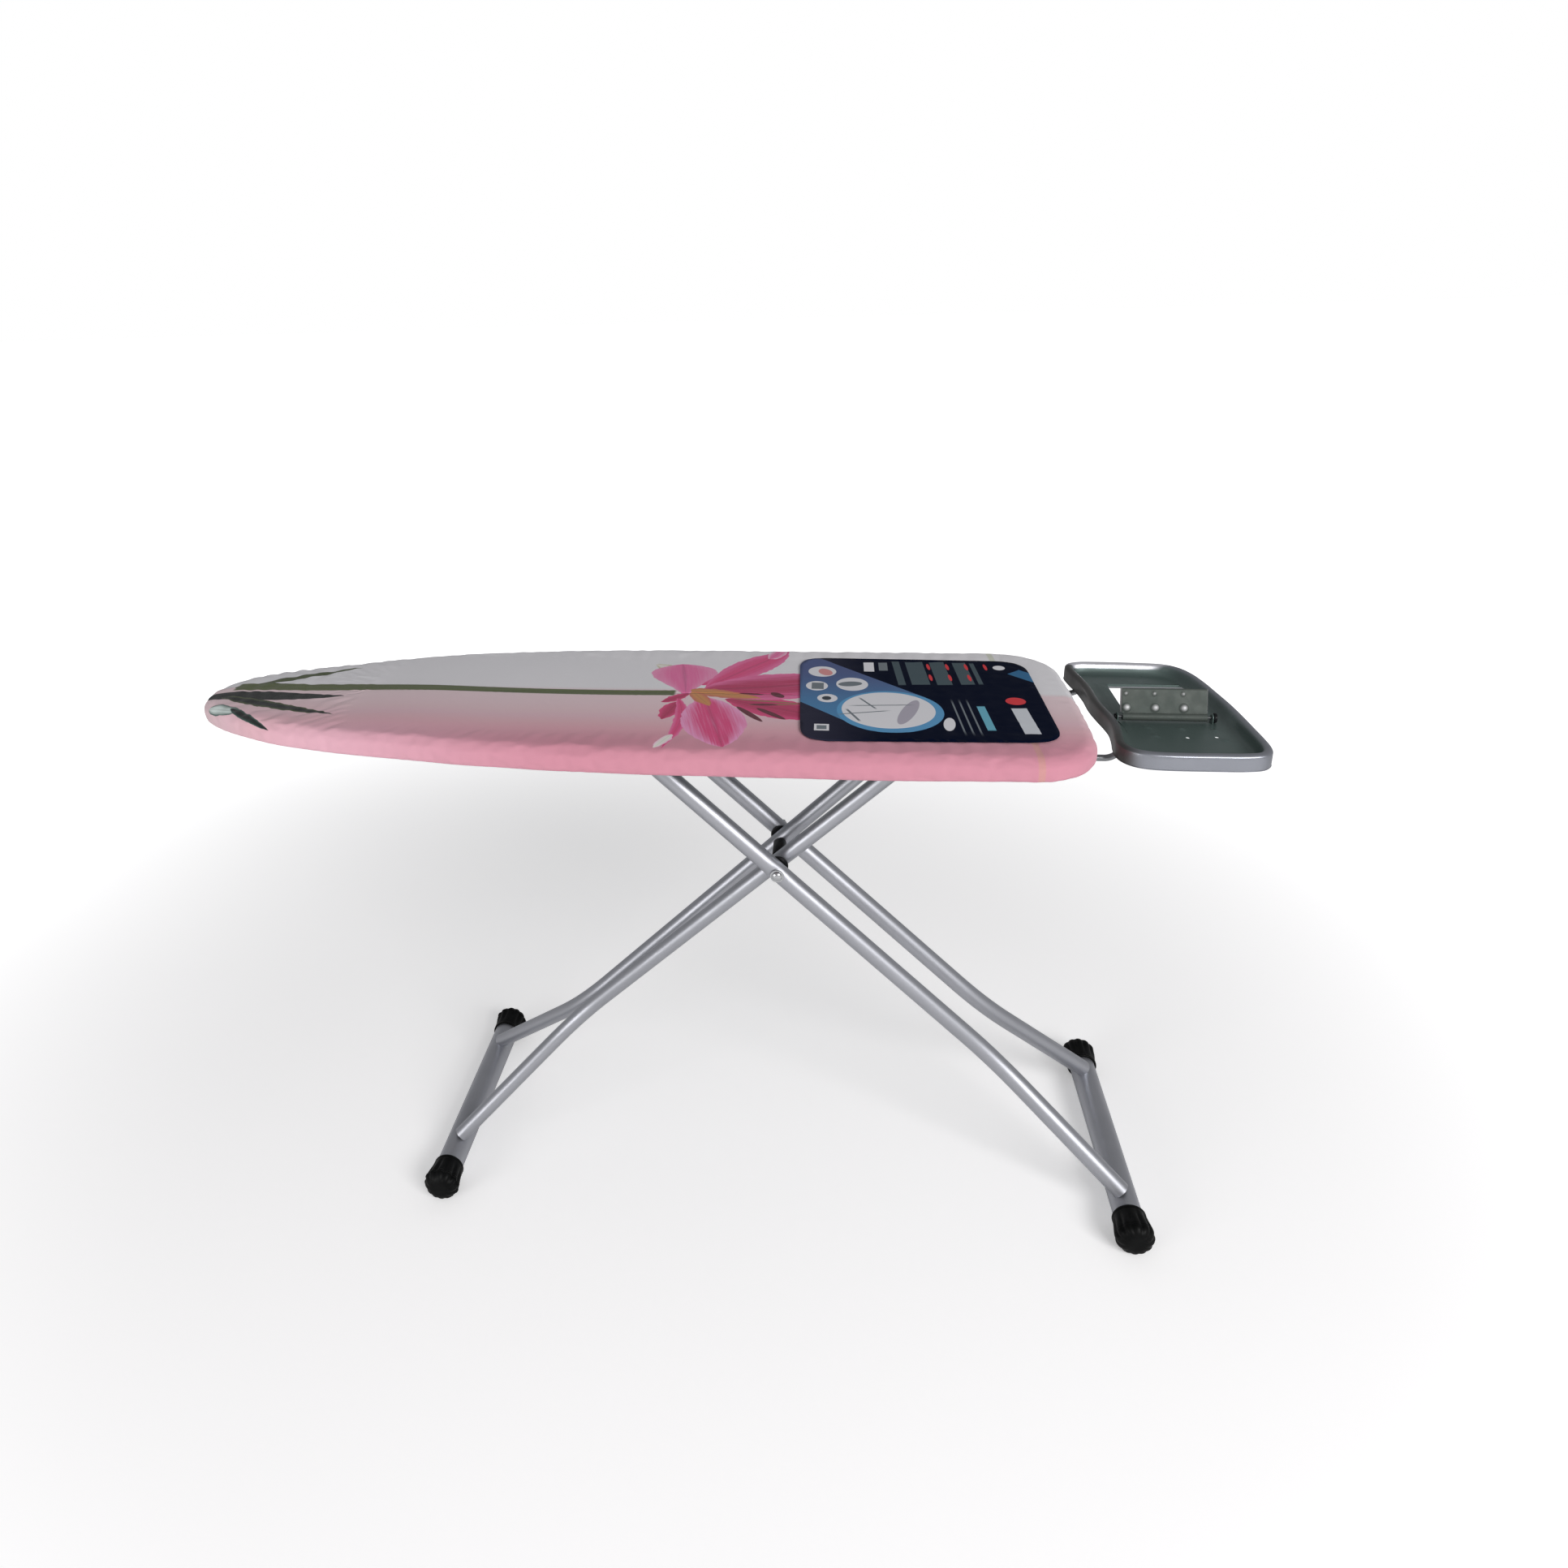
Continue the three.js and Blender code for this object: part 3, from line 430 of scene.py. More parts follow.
def card_material():
    """Glossy printed card: pictures, bars and rules only, with no lettering."""
    material, shader, place = new_material("printed_card", dye(10, 20, 46), Roughness=0.34)
    shader.inputs["IOR"].default_value = 1.06
    x, y, _ = split(place)
    flat = pack(x, y)
    left = band(x, 0.26, 0.14)
    colour = mix(left, dye(7, 15, 36), dye(52, 52, 68))
    steel = mix(band(y, 0.10, -0.08), dye(88, 100, 140), dye(84, 134, 176))
    colour = stamp(flat, colour, steel, (0.1757, 0.037), (0.120, 0.067), -47.3)
    colour = stamp(flat, colour, dye(60, 110, 150), (0.449, 0.072), (0.028, 0.012), -47.0)
    white, grey, coral = dye(226, 226, 230), dye(120, 128, 134), dye(214, 70, 76)
    marks = [
        (dye(96, 156, 200), (0.259, -0.055), (0.066, 0.070), 0, 1),
        (white, (0.257, -0.051), (0.058, 0.061), 0, 1),
        (white, (0.1736, 0.087), (0.019, 0.021), 0, 1),
        (dye(214, 150, 150), (0.178, 0.085), (0.009, 0.014), 20, 1),
        (white, (0.167, 0.030), (0.0145, 0.018), 0, 1), (grey, (0.168, 0.030), (0.008, 0.012), 0, 0),
        (white, (0.2135, 0.039), (0.021, 0.025), 0, 1), (grey, (0.2110, 0.040), (0.016, 0.009), 12, 1),
        (white, (0.181, -0.015), (0.013, 0.015), 0, 1),
        (dye(70, 74, 80), (0.180, -0.015), (0.006, 0.007), 0, 1),
        (white, (0.1745, -0.1125), (0.009, 0.010), 0, 0), (grey, (0.1745, -0.1125), (0.006, 0.006), 0, 0),
        (white, (0.2375, 0.108), (0.007, 0.018), 0, 0), (grey, (0.257, 0.110), (0.006, 0.016), 0, 0),
        (white, (0.328, -0.0945), (0.007, 0.021), -6, 1), (white, (0.413, 0.108), (0.008, 0.009), 0, 1),
        (dye(176, 172, 184), (0.2816, -0.057), (0.043, 0.0095), 73, 1),
        (grey, (0.249, -0.036), (0.036, 0.0012), 5, 0), (grey, (0.232, -0.030), (0.020, 0.0014), -62, 0),
        (grey, (0.226, -0.062), (0.030, 0.0012), 14, 0), (grey, (0.213, -0.071), (0.020, 0.0016), -68, 0),
        (coral, (0.4175, -0.014), (0.0125, 0.0125), 0, 1),
        (dye(206, 210, 216), (0.420, -0.079), (0.0095, 0.041), 3, 0),
        (dye(110, 176, 196), (0.374, -0.072), (0.0050, 0.039), 3, 0),
    ]
    for ink, centre, half, turn, round_ in marks:
        colour = stamp(flat, colour, ink, centre, half, turn, round_)
    for k in range(3):
        colour = stamp(flat, colour, grey, (0.341 + 0.0095 * k, -0.070), (0.0011, 0.050), 3.0)
    dim = dye(78, 92, 98)
    for centre_x, width, long in ((0.277, 0.005, 0.046), (0.302, 0.012, 0.044), (0.333, 0.010, 0.044),
                                  (0.363, 0.009, 0.042), (0.380, 0.003, 0.040)):
        colour = stamp(flat, colour, dim, (centre_x, 0.085), (width, long), 3.0)
    for k in range(7):
        row, column = divmod(k, 4)
        centre = (0.3185 + 0.0255 * column, 0.110 - 0.042 * row)
        colour = stamp(flat, colour, coral, centre, (0.0022, 0.012), 3.0, 1.0)
    feed(shader, Base_Color=colour)
    feed(shader, Roughness=band(noise(place, 60.0, 3.0), 0.3, 0.7, 0.36, 0.48))
    bump(shader, noise(place, 18.0, 2.0), 0.0006, 0.10)
    return material


def metal_material(name, colour, roughness, metallic=0.92, grain=(30.0, 900.0, 30.0), worn=0.15):
    """Drawn or rolled metal: fine grain in one direction, faint blotches and small scratches."""
    material, shader, place = new_material(name, colour, Roughness=roughness, Metallic=metallic)
    stretched = vector("MULTIPLY", place, tuple(grain))
    lines = noise(stretched, 1.0, 3.0)
    blotch = noise(place, 14.0, 3.0)
    darker = tuple(c * (1 - worn) for c in colour[:3]) + (1.0,)
    tint = mix(band(blotch, 0.35, 0.7), colour, darker)
    feed(shader, Base_Color=tint)
    rough = lines * 0.06 + (roughness - 0.03)
    rough = rough + band(blotch, 0.45, 0.75, 0.0, 0.07)
    feed(shader, Roughness=rough)
    bump(shader, lines, 0.00001, 0.10)
    return material


def tray_material():
    """Painted pressed steel of one colour, with painted reflections in its colour: dark grey-green inside,
    bright on the rolled rim and the skirt, painted shade on the wavy skirt and a painted highlight along the
    far inner wall.
    """
    material, shader, place = new_material("tray_paint", dye(70, 84, 80), Metallic=0.6, Roughness=0.28)
    # rim attribute: how much of the painted bright reflection each point gets
    rim = add("ShaderNodeAttribute", output="Fac", attribute_name="rim")
    blotch = noise(place, 9.0, 2.0)
    # painted dark reflection inside the tray, with random blotches
    inside = mix(blotch, dye(72, 89, 86), dye(92, 107, 104))
    x, y, z = split(place)
    # painted bright reflection on the rolled rim and the skirt
    bright = mix(noise(place, 12.0, 2.0), dye(150, 153, 162), dye(162, 165, 172))
    # painted shade: the wavy skirt towards the board is darker
    bright = mix(band(x, 0.545, 0.520), bright, dye(84, 83, 81))
    # painted highlight: a near-white line along the far inner wall, also counted as rim
    far_wall_highlight = band(y, 0.146, 0.151) * band(z, 0.7015, 0.7045)
    rim = calc("MAXIMUM", rim, far_wall_highlight)
    bright = mix(far_wall_highlight, bright, dye(240, 240, 246))
    feed(shader, Base_Color=mix(rim, inside, bright))
    feed(shader, Metallic=band(rim, 0.0, 1.0, 0.35, 0.85))
    rough = band(noise(place, 30.0, 3.0), 0.25, 0.75, 0.32, 0.42)
    feed(shader, Roughness=rough)
    bump(shader, noise(place, 220.0, 2.0), 0.00003, 0.2)
    return material


def plate_material():
    """Painted heel stop: dull grey-green, with painted highlights near white on the pressed bumps and half
    as strong on the side flanges.
    """
    material, shader, place = new_material("plate_paint", dye(84, 92, 88), Metallic=0.2, Roughness=0.55)
    shader.inputs["IOR"].default_value = 1.25
    painted_bump_highlight = add("ShaderNodeAttribute", output="Fac", attribute_name="rim")
    paint = mix(noise(place, 40.0, 3.0), dye(70, 80, 76), dye(92, 96, 92))
    # painted highlight: near white where the rim attribute is high
    feed(shader, Base_Color=mix(painted_bump_highlight, paint, dye(230, 230, 232)))
    feed(shader, Roughness=band(noise(place, 90.0, 3.0), 0.3, 0.7, 0.48, 0.62))
    bump(shader, noise(place, 220.0, 2.0), 0.00003, 0.2)
    return material


def rubber_material(name, colour, roughness=0.55, speck=700.0):
    """Moulded rubber or plastic: fine pitted surface with dusty, slightly lighter patches."""
    material, shader, place = new_material(name, colour, Roughness=roughness)
    shader.inputs["IOR"].default_value = 1.22
    dusty = tuple(min(1.0, c * 1.8 + 0.003) for c in colour[:3]) + (1.0,)
    patch = band(noise(place, 45.0, 4.0), 0.45, 0.75)
    feed(shader, Base_Color=mix(patch, colour, dusty))
    pits = noise(place, speck, 3.0)
    feed(shader, Roughness=band(pits, 0.2, 0.8, roughness - 0.10, roughness + 0.12))
    bump(shader, pits, 0.00010, 0.35)
    return material


def felt_material():
    """Needled wadding of the pad."""
    material, shader, place = new_material("pad_felt", dye(226, 222, 212), Roughness=0.96)
    fibres = noise(place, 420.0, 5.0)
    cloud = noise(place, 30.0, 3.0)
    colour = mix(fibres, dye(206, 201, 190), dye(238, 235, 226))
    feed(shader, Base_Color=mix(cloud, colour, dye(220, 214, 204)))
    bump(shader, fibres + cloud, 0.0006, 0.5)
    return material


COTTON = cover_material()
CARD = card_material()
FELT = felt_material()
TUBE = metal_material("drawn_tube", dye(184, 186, 192), 0.42, 0.9, (30.0, 900.0, 30.0), 0.06)
STEEL = metal_material("rolled_steel", dye(150, 153, 156), 0.38, 0.85, (240.0, 40.0, 240.0), 0.25)
DECK = metal_material("zinc_sheet", dye(142, 147, 150), 0.45, 0.8, (60.0, 240.0, 60.0), 0.3)
BOLT = metal_material("bright_bolt", dye(206, 208, 210), 0.22, 0.95, (200.0, 200.0, 200.0), 0.1)
PIN = metal_material("dull_rod", dye(96, 98, 100), 0.50, 0.7)
TRAY = tray_material()
PLATE = plate_material()
RUBBER = rubber_material("foot_rubber", dye(4, 5, 5), 0.46)
PLASTIC = rubber_material("black_nylon", dye(14, 15, 17), 0.36, 300.0)
GRIP = rubber_material("lever_grip", dye(72, 76, 80), 0.50)


# ---- mesh helpers ----
def make_object(name, points, faces, material):
    mesh = bpy.data.meshes.new(name)
    mesh.from_pydata([tuple(p) for p in points], [], [tuple(f) for f in faces])
    mesh.validate()
    mesh.polygons.foreach_set("use_smooth", [True] * len(mesh.polygons))
    mesh.materials.append(material)
    piece = bpy.data.objects.new(name, mesh)
    bpy.context.scene.collection.objects.link(piece)
    return piece


def circle(radius, count, x=0.0, y=0.0):
    """count points round a circle."""
    return [(x + radius * cos(a), y + radius * sin(a)) for a in np.linspace(0, 2 * pi, count + 1)[:-1]]


def ring_faces(rings, count, closed=False):
    """Quads between rings of equal count; closed joins the last ring to the first."""
    faces = []
    for r in range(rings if closed else rings - 1):
        here, after = r * count, (r + 1) % rings * count
        for i in range(count):
            j = (i + 1) % count
            faces.append((here + i, here + j, after + j, after + i))
    return faces


def tidy(piece, merge=1e-6, sharp=None):
    """Merges doubled points, points the faces outwards and marks sharp edges."""
    work = bmesh.new()
    work.from_mesh(piece.data)
    bmesh.ops.remove_doubles(work, verts=work.verts, dist=merge)
    bmesh.ops.dissolve_degenerate(work, edges=work.edges, dist=merge)
    bmesh.ops.recalc_face_normals(work, faces=work.faces)
    if sharp:
        for edge in work.edges:
            if len(edge.link_faces) == 2 and edge.calc_face_angle(0) > radians(sharp):
                edge.smooth = False
    work.to_mesh(piece.data)
    work.free()
    return piece


def close_ends(piece, beyond=0.0):
    """Fills the open ends that lie further than beyond from the middle plane."""
    work = bmesh.new()
    work.from_mesh(piece.data)
    ends = [e for e in work.edges if e.is_boundary and abs(e.verts[0].co.y) > beyond]
    bmesh.ops.holes_fill(work, edges=ends, sides=0)
    bmesh.ops.recalc_face_normals(work, faces=work.faces)
    work.to_mesh(piece.data)
    work.free()


def modify(piece, kind, **settings):
    modifier = piece.modifiers.new(kind.lower(), kind)
    for name, value in settings.items():
        setattr(modifier, name, value)
    return modifier


def bake_modifiers(piece):
    """Turns the piece's modifiers into its mesh."""
    graph = bpy.context.evaluated_depsgraph_get()
    made = bpy.data.meshes.new_from_object(piece.evaluated_get(graph))
    piece.modifiers.clear()
    piece.data = made
    return piece


def finish_piece(piece, body, slot, *nodes):
    if nodes:
        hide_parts(*nodes)
    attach(piece, body)
    return piece


def lathe(name, profile, origin, axis, material, count=40):
    """A turned piece: profile is [(radius, along), ...] from one end to the other and back."""
    turn = Vector((0, 0, 1)).rotation_difference(Vector(axis)).to_matrix()
    points = []
    for radius, along in profile:
        for i in range(count):
            a = 2 * pi * i / count
            points.append(turn @ Vector((radius * cos(a), radius * sin(a), along)) + Vector(origin))
    closed = profile[0][0] > 0
    piece = make_object(name, points, ring_faces(len(profile), count, closed), material)
    return tidy(piece, sharp=40)


def sleeve(bore, outer, low, high, round_=0.0005):
    """Profile of a sleeve with rounded outer edges."""
    return [
        (bore, low), (outer - round_, low),
        (outer - 0.3 * round_, low + 0.3 * round_), (outer, low + round_),
        (outer, high - round_), (outer - 0.3 * round_, high - 0.3 * round_),
        (outer - round_, high), (bore, high),
    ]


def ripple(turns, seed, lowest, highest, count=9):
    """Smooth noise from -1 to 1 that repeats once per turn, with lowest to highest waves in it."""
    chance = np.random.default_rng(seed)
    total = np.zeros(np.shape(turns))
    for _ in range(count):
        waves = chance.integers(lowest, highest + 1)
        total += np.cos(2 * pi * (waves * turns + chance.random()))
    return total / sqrt(count * 1.2)


# ---- board ----
def outline_point(share, inset):
    """Point of the board's outline, shrunk by inset. share runs from 0 at the far end of the
    nose curve: 1 near end of the curve, 2..3 near corner, 3..4 end, 4..5 far corner, 6 is 0."""
    half = HALF_WIDTH - inset
    middle = NOSE_X + NOSE_LENGTH
    corner = max(END_CORNER - inset, 1e-5)
    corner_x = BOARD_END - inset - END_BOW - corner
    corner_y = half - corner
    part, t = divmod(share, 1)
    if part == 0:
        a = pi * (0.5 + t)
        return middle + (NOSE_LENGTH - inset) * cos(a), half * sin(a)
    if part == 1:
        return middle + (corner_x - middle) * t, -half
    if part == 2:
        a = pi / 2 * (t - 1)
        return corner_x + corner * cos(a), -corner_y + corner * sin(a)
    if part == 3:
        bow = END_BOW * (1 - (2 * t - 1) ** 2)
        return corner_x + corner + bow, corner_y * (2 * t - 1)
    if part == 4:
        a = pi / 2 * t
        return corner_x + corner * cos(a), corner_y + corner * sin(a)
    return corner_x + (middle - corner_x) * t, half


def even_shares(count):
    """count shares of the outline at even spacing, the first at the tip of the nose."""
    fine = np.linspace(0, 6, 6001)[:-1]
    fine = np.concatenate([fine[500:], fine[:500]])
    points = np.array([outline_point(s, 0) for s in fine])
    steps = np.linalg.norm(np.roll(points, -1, 0) - points, axis=1)
    reach = np.concatenate([[0], np.cumsum(steps)])
    fine = np.concatenate([fine, [fine[0]]])
    wanted = np.arange(count) / count * reach[-1]
    found = np.minimum(np.searchsorted(reach, wanted + 1e-9), len(fine) - 1)
    return [float(share) for share in fine[found]], reach[-1]


def board_rings(profile, count):
    """Rings round the board for a profile of (inset, z)."""
    shares, _ = even_shares(count)
    rings = []
    for inset, z in profile:
        rings.append([(*outline_point(s, inset), z) for s in shares])
    return np.array(rings)


AROUND = 420  # points round the board
SHOULDER = 0.014  # radius of the upper edge
TUCK = 0.0065  # radius of the lower edge of the cover's side
NOSE_SINK = 0.0055  # how far the padding sinks along the nose, and further at its tip
TIP_SINK = 0.006
PAD_EDGE = 0.0045  # how far the pad stays inside the cover
CLOTH_STEPS = 20
CLOTH_REACH = 0.0035  # how far the simulation may move a point


def cover_profile():
    """Rows of the cover from the middle of the top, over the shoulder and under to the hem."""
    rows = [(HALF_WIDTH - 0.0004, TOP_Z)]
    rows += [(inset, TOP_Z) for inset in np.linspace(HALF_WIDTH - 0.006, SHOULDER + 0.003, 31)]
    for a in np.linspace(0, pi / 2, 9):
        rows.append((SHOULDER * (1 - sin(a)), TOP_Z - SHOULDER * (1 - cos(a))))
    side = np.linspace(TOP_Z - SHOULDER, COVER_BOTTOM_Z + TUCK, 5)[1:-1]
    rows += [(0.0, z) for z in side]
    for a in np.linspace(0, pi / 2, 5):
        rows.append((TUCK * (1 - cos(a)), COVER_BOTTOM_Z + TUCK * (1 - sin(a))))
    rows += [(inset, COVER_BOTTOM_Z) for inset in (0.010, 0.014, 0.018)]
    rows += [(HEM_WIDTH - 0.001, COVER_BOTTOM_Z + 0.0004), (HEM_WIDTH, COVER_BOTTOM_Z + 0.0018)]
    rows += [(HEM_WIDTH - 0.0025, COVER_BOTTOM_Z + 0.0026)]
    return rows


def nose_drop(x):
    """How far the padding sinks towards the tip of the nose."""
    slope = np.clip((-0.33 - x) / 0.22, 0, 1)
    tip = np.clip((NOSE_X + 0.055 - x) / 0.055, 0, 1)
    return NOSE_SINK * slope * slope * (3 - 2 * slope) + TIP_SINK * tip * tip


def shape_cover(points, profile):
    """Adds the slack of real cloth: pleats towards the hem and radial creases at the nose."""
    count = points.shape[1]
    turns = np.arange(count) / count
    inset = np.array([row[0] for row in profile])[:, None]
    level = np.array([row[1] for row in profile])[:, None]
    outline = points[np.argmin(np.abs(inset[:, 0]) + np.abs(level[:, 0] - 0.70))]
    tangent = np.roll(outline, -1, 0) - np.roll(outline, 1, 0)
    outward = np.stack([tangent[:, 1], -tangent[:, 0]], 1)
    outward /= np.linalg.norm(outward, axis=1)[:, None]
    if (outward * (outline[:, :2] - outline[:, :2].mean(0))).sum() < 0:
        outward = -outward
    gather = ripple(turns, 5, 110, 200, 14)
    slow = ripple(turns, 6, 9, 40, 8)
    below = np.clip((TOP_Z - 0.004 - level) / (TOP_Z - COVER_BOTTOM_Z), 0, 1)
    nose = np.clip((-0.42 - points[..., 0]) / 0.22, 0, 1)
    bulge = 0.0014 * np.sin(np.pi * below) + below * (0.0007 * gather * (0.2 + 0.8 * below) + 0.0005 * slow)
    bulge = bulge * (inset < 0.009)
    points[..., 0] += outward[:, 0] * bulge
    points[..., 1] += outward[:, 1] * bulge
    hem = np.clip((inset - 0.004) / 0.01, 0, 1) * (level < TOP_Z - 0.02)
    points[..., 2] += hem * (0.0010 * ripple(turns, 7, 90, 200, 12) - 0.0004)
    top = level > TOP_Z - 0.003
    edge = np.exp(-(((inset - 0.010) / 0.028) ** 2))
    crease = ripple(turns, 8, 60, 150, 12)
    points[..., 2] += top * edge * (0.0001 + 0.0010 * nose) * crease
    points[..., 2] -= nose_drop(points[..., 0]) * (1 - 0.45 * below)
    points[..., 2] += 0.0035 * below * np.clip((points[..., 0] - 0.25) / 0.15, 0, 1)
    crown = np.clip(inset / 0.10, 0, 1)
    points[..., 2] += top * 0.0012 * crown * (2 - crown)
    wide = np.sin(9 * points[..., 0] + 1.0) * np.cos(14 * points[..., 1] + 2.5 * points[..., 0])
    points[..., 2] += top * 0.0005 * wide * crown
    return points


def simulate_cover(piece, hold):
    """Inflates the cloth a little against its pins, and keeps the settled shape."""
    work = piece.copy()
    work.data = piece.data.copy()
    bpy.context.scene.collection.objects.link(work)
    group = work.vertex_groups.new(name="held")
    for value in sorted(set(hold)):
        group.add([i for i, h in enumerate(hold) if h == value], value, "REPLACE")
    cloth = modify(work, "CLOTH")
    settings = cloth.settings
    wanted = {
        "quality": 4, "mass": 0.25, "tension_stiffness": 12, "compression_stiffness": 8,
        "shear_stiffness": 3, "bending_stiffness": 0.15, "use_pressure": True, "uniform_pressure_force": 2.5,
        "vertex_group_mass": "held", "pin_stiffness": 1.0, "shrink_min": -0.012,
    }
    for name, value in wanted.items():
        setattr(settings, name, value)
    settings.effector_weights.gravity = 0
    scene = bpy.context.scene
    scene.frame_start, scene.frame_end = 1, CLOTH_STEPS
    cloth.point_cache.frame_start, cloth.point_cache.frame_end = 1, CLOTH_STEPS
    for step in range(1, CLOTH_STEPS + 1):
        scene.frame_set(step)
    graph = bpy.context.evaluated_depsgraph_get()
    settled = work.evaluated_get(graph)
    after = np.array([v.co for v in settled.data.vertices])
    scene.frame_set(1)
    bpy.data.objects.remove(work)
    before = np.array([v.co for v in piece.data.vertices])
    move = after - before
    size = np.linalg.norm(move, axis=1)[:, None]
    move *= CLOTH_REACH * np.tanh(size / CLOTH_REACH) / np.maximum(size, 1e-9)
    on_pad = before[:, 2] > PAD_HIGH.z
    move[on_pad, 2] = np.maximum(move[on_pad, 2], -0.0004)
    piece.data.vertices.foreach_set("co", (before + move).astype(np.float32).ravel())
    piece.data.update()


def make_cover():
    profile = cover_profile()
    points = shape_cover(board_rings(profile, AROUND), profile)
    piece = make_object("cotton_cover", points.reshape(-1, 3), ring_faces(len(profile), AROUND), COTTON)
    tidy(piece, 1e-5)
    hold = []
    for v in piece.data.vertices:
        under = v.co.z < COVER_BOTTOM_Z + 0.004
        middle = v.co.z > TOP_Z - 0.002 and abs(v.co.y) < 0.75 * HALF_WIDTH
        hold.append(1.0 if under else 0.5 if middle else 0.15)
    simulate_cover(piece, hold)
    modify(piece, "SUBSURF", levels=1, render_levels=1)
    modify(piece, "SOLIDIFY", thickness=0.0008, offset=-1.0, use_rim=True)
    bake_modifiers(piece)
    _, around = even_shares(60)
    return finish_piece(piece, "board", "cover", "cover")


def make_pad():
    """The wadding under the cover: crowned above, flat where it lies on the deck."""
    side = PAD_HIGH.z - PAD_LOW.z
    rows = [(HALF_WIDTH - 0.0004, PAD_HIGH.z)]
    rows += [(i, PAD_HIGH.z) for i in np.linspace(HALF_WIDTH - 0.008, PAD_EDGE + 0.018, 16)]
    for a in np.linspace(0, pi / 2, 7):
        rows.append((PAD_EDGE + 0.011 * (1 - sin(a)), PAD_LOW.z + side * cos(a) * 0.85))
    rows += [(PAD_EDGE + 0.0006, PAD_LOW.z - 0.0001)]
    rows += [(i, PAD_LOW.z) for i in np.linspace(PAD_EDGE + 0.02, HALF_WIDTH - 0.0004, 6)]
    points = board_rings(rows, 240)
    above = points[..., 2] > PAD_LOW.z
    top = points[..., 2] > PAD_LOW.z + 0.001
    lumps = np.sin(60 * points[..., 0]) * np.sin(55 * points[..., 1] + 1)
    points[..., 2] -= top * (0.0006 + 0.0004 * lumps)
    fallen = nose_drop(points[..., 0])
    from_edge = np.array([row[0] for row in rows])[:, None]
    draw_in = 1.3 * fallen + 0.011 * np.clip((-0.60 - points[..., 0]) / 0.087, 0, 1)
    draw_in *= np.clip(1 - from_edge / 0.07, 0, 1)
    out_x = (points[..., 0] - (NOSE_X + NOSE_LENGTH)) / NOSE_LENGTH**2
    out_y = points[..., 1] / HALF_WIDTH**2
    reach = np.maximum(np.hypot(out_x, out_y), 1e-9)
    points[..., 0] -= draw_in * out_x / reach
    points[..., 1] -= draw_in * out_y / reach
    squashed = PAD_LOW.z + (points[..., 2] - PAD_LOW.z) * (1 - np.minimum(fallen / side, 0.88))
    points[..., 2] = np.where(above, squashed, points[..., 2])
    piece = make_object("ironing_pad", points.reshape(-1, 3), ring_faces(len(rows), 240), FELT)
    tidy(piece, 1e-5)
    return finish_piece(piece, "board", "pad", "pad")


# ---- flat plates with detail ----
def inside_loop(loop, x, y):
    x0, y0 = loop[:, 0], loop[:, 1]
    x1, y1 = np.roll(x0, -1), np.roll(y0, -1)
    with np.errstate(divide="ignore", invalid="ignore"):
        crossing = (x1 - x0) * (y - y0) / (y1 - y0) + x0
    return bool(np.count_nonzero(((y0 > y) != (y1 > y)) & (x < crossing)) % 2)


def fill_plate(outer, holes, step):
    """Triangles over an outline with holes, with grid points every step."""
    loops = [np.asarray(outer)] + [np.asarray(h) for h in holes]
    points = [tuple(p) for loop in loops for p in loop]
    edges, start = [], 0
    for loop in loops:
        edges += [(start + i, start + (i + 1) % len(loop)) for i in range(len(loop))]
        start += len(loop)
    border = np.array(points)
    low, high = border.min(0), border.max(0)
    for x in np.arange(low[0] + step, high[0], step):
        for y in np.arange(low[1] + step, high[1], step):
            if np.min(np.sum((border - (x, y)) ** 2, axis=1)) > (0.6 * step) ** 2:
                points.append((x, y))
    verts, _, faces, *_ = delaunay_2d_cdt([Vector(p) for p in points], edges, [], 0, 1e-7)
    kept = []
    for face in faces:
        x = sum(verts[i].x for i in face) / 3
        y = sum(verts[i].y for i in face) / 3
        if inside_loop(loops[0], x, y) and not any(inside_loop(h, x, y) for h in loops[1:]):
            kept.append(face)
    return np.array([(v.x, v.y) for v in verts]), kept


def rounded_loop(corners, radius, steps=8):
    """A polygon with its corners rounded."""
    corners = [Vector(c) for c in corners]
    loop = []
    for i, here in enumerate(corners):
        before, after = corners[i - 1], corners[(i + 1) % len(corners)]
        start = here + (before - here).normalized() * radius
        stop = here + (after - here).normalized() * radius
        for t in np.linspace(0, 1, steps):
            loop.append(tuple(start * (1 - t) ** 2 + here * 2 * t * (1 - t) + stop * t * t))
    return loop


def make_card(cover):
    """The card lies on the cloth, so its height comes from the cover under it."""
    low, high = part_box("label_card")
    corners = [(0.150, low.y), (high.x, -0.145), (0.449, 0.134), (low.x, high.y)]
    flat, faces = fill_plate(rounded_loop(corners, 0.040, 12), [], 0.006)
    tree = BVHTree.FromObject(cover, bpy.context.evaluated_depsgraph_get())
    heights = []
    for x, y in flat:
        hits = [
            tree.ray_cast(Vector((x + dx, y + dy, TOP_Z + 0.05)), Vector((0, 0, -1)))[0]
            for dx in (-0.02, 0, 0.02) for dy in (-0.02, 0, 0.02)
        ]
        level = [h.z for h in hits if h is not None]
        heights.append(max(level) if level else TOP_Z)
    heights = np.array(heights)
    curl = 0.0012 * ((flat[:, 0] - 0.30) / 0.15) ** 4 + 0.0006 * np.cos(9 * flat[:, 0] + 20 * flat[:, 1])
    points = np.column_stack([flat, heights + 0.0009 + 0.4 * curl])
    piece = tidy(make_object("information_card", points, faces, CARD))
    if np.mean([p.normal.z for p in piece.data.polygons]) < 0:
        piece.data.flip_normals()
    modify(piece, "SOLIDIFY", thickness=0.0005, offset=1.0)
    bake_modifiers(piece)
    return finish_piece(piece, "board", "card", "label_card")


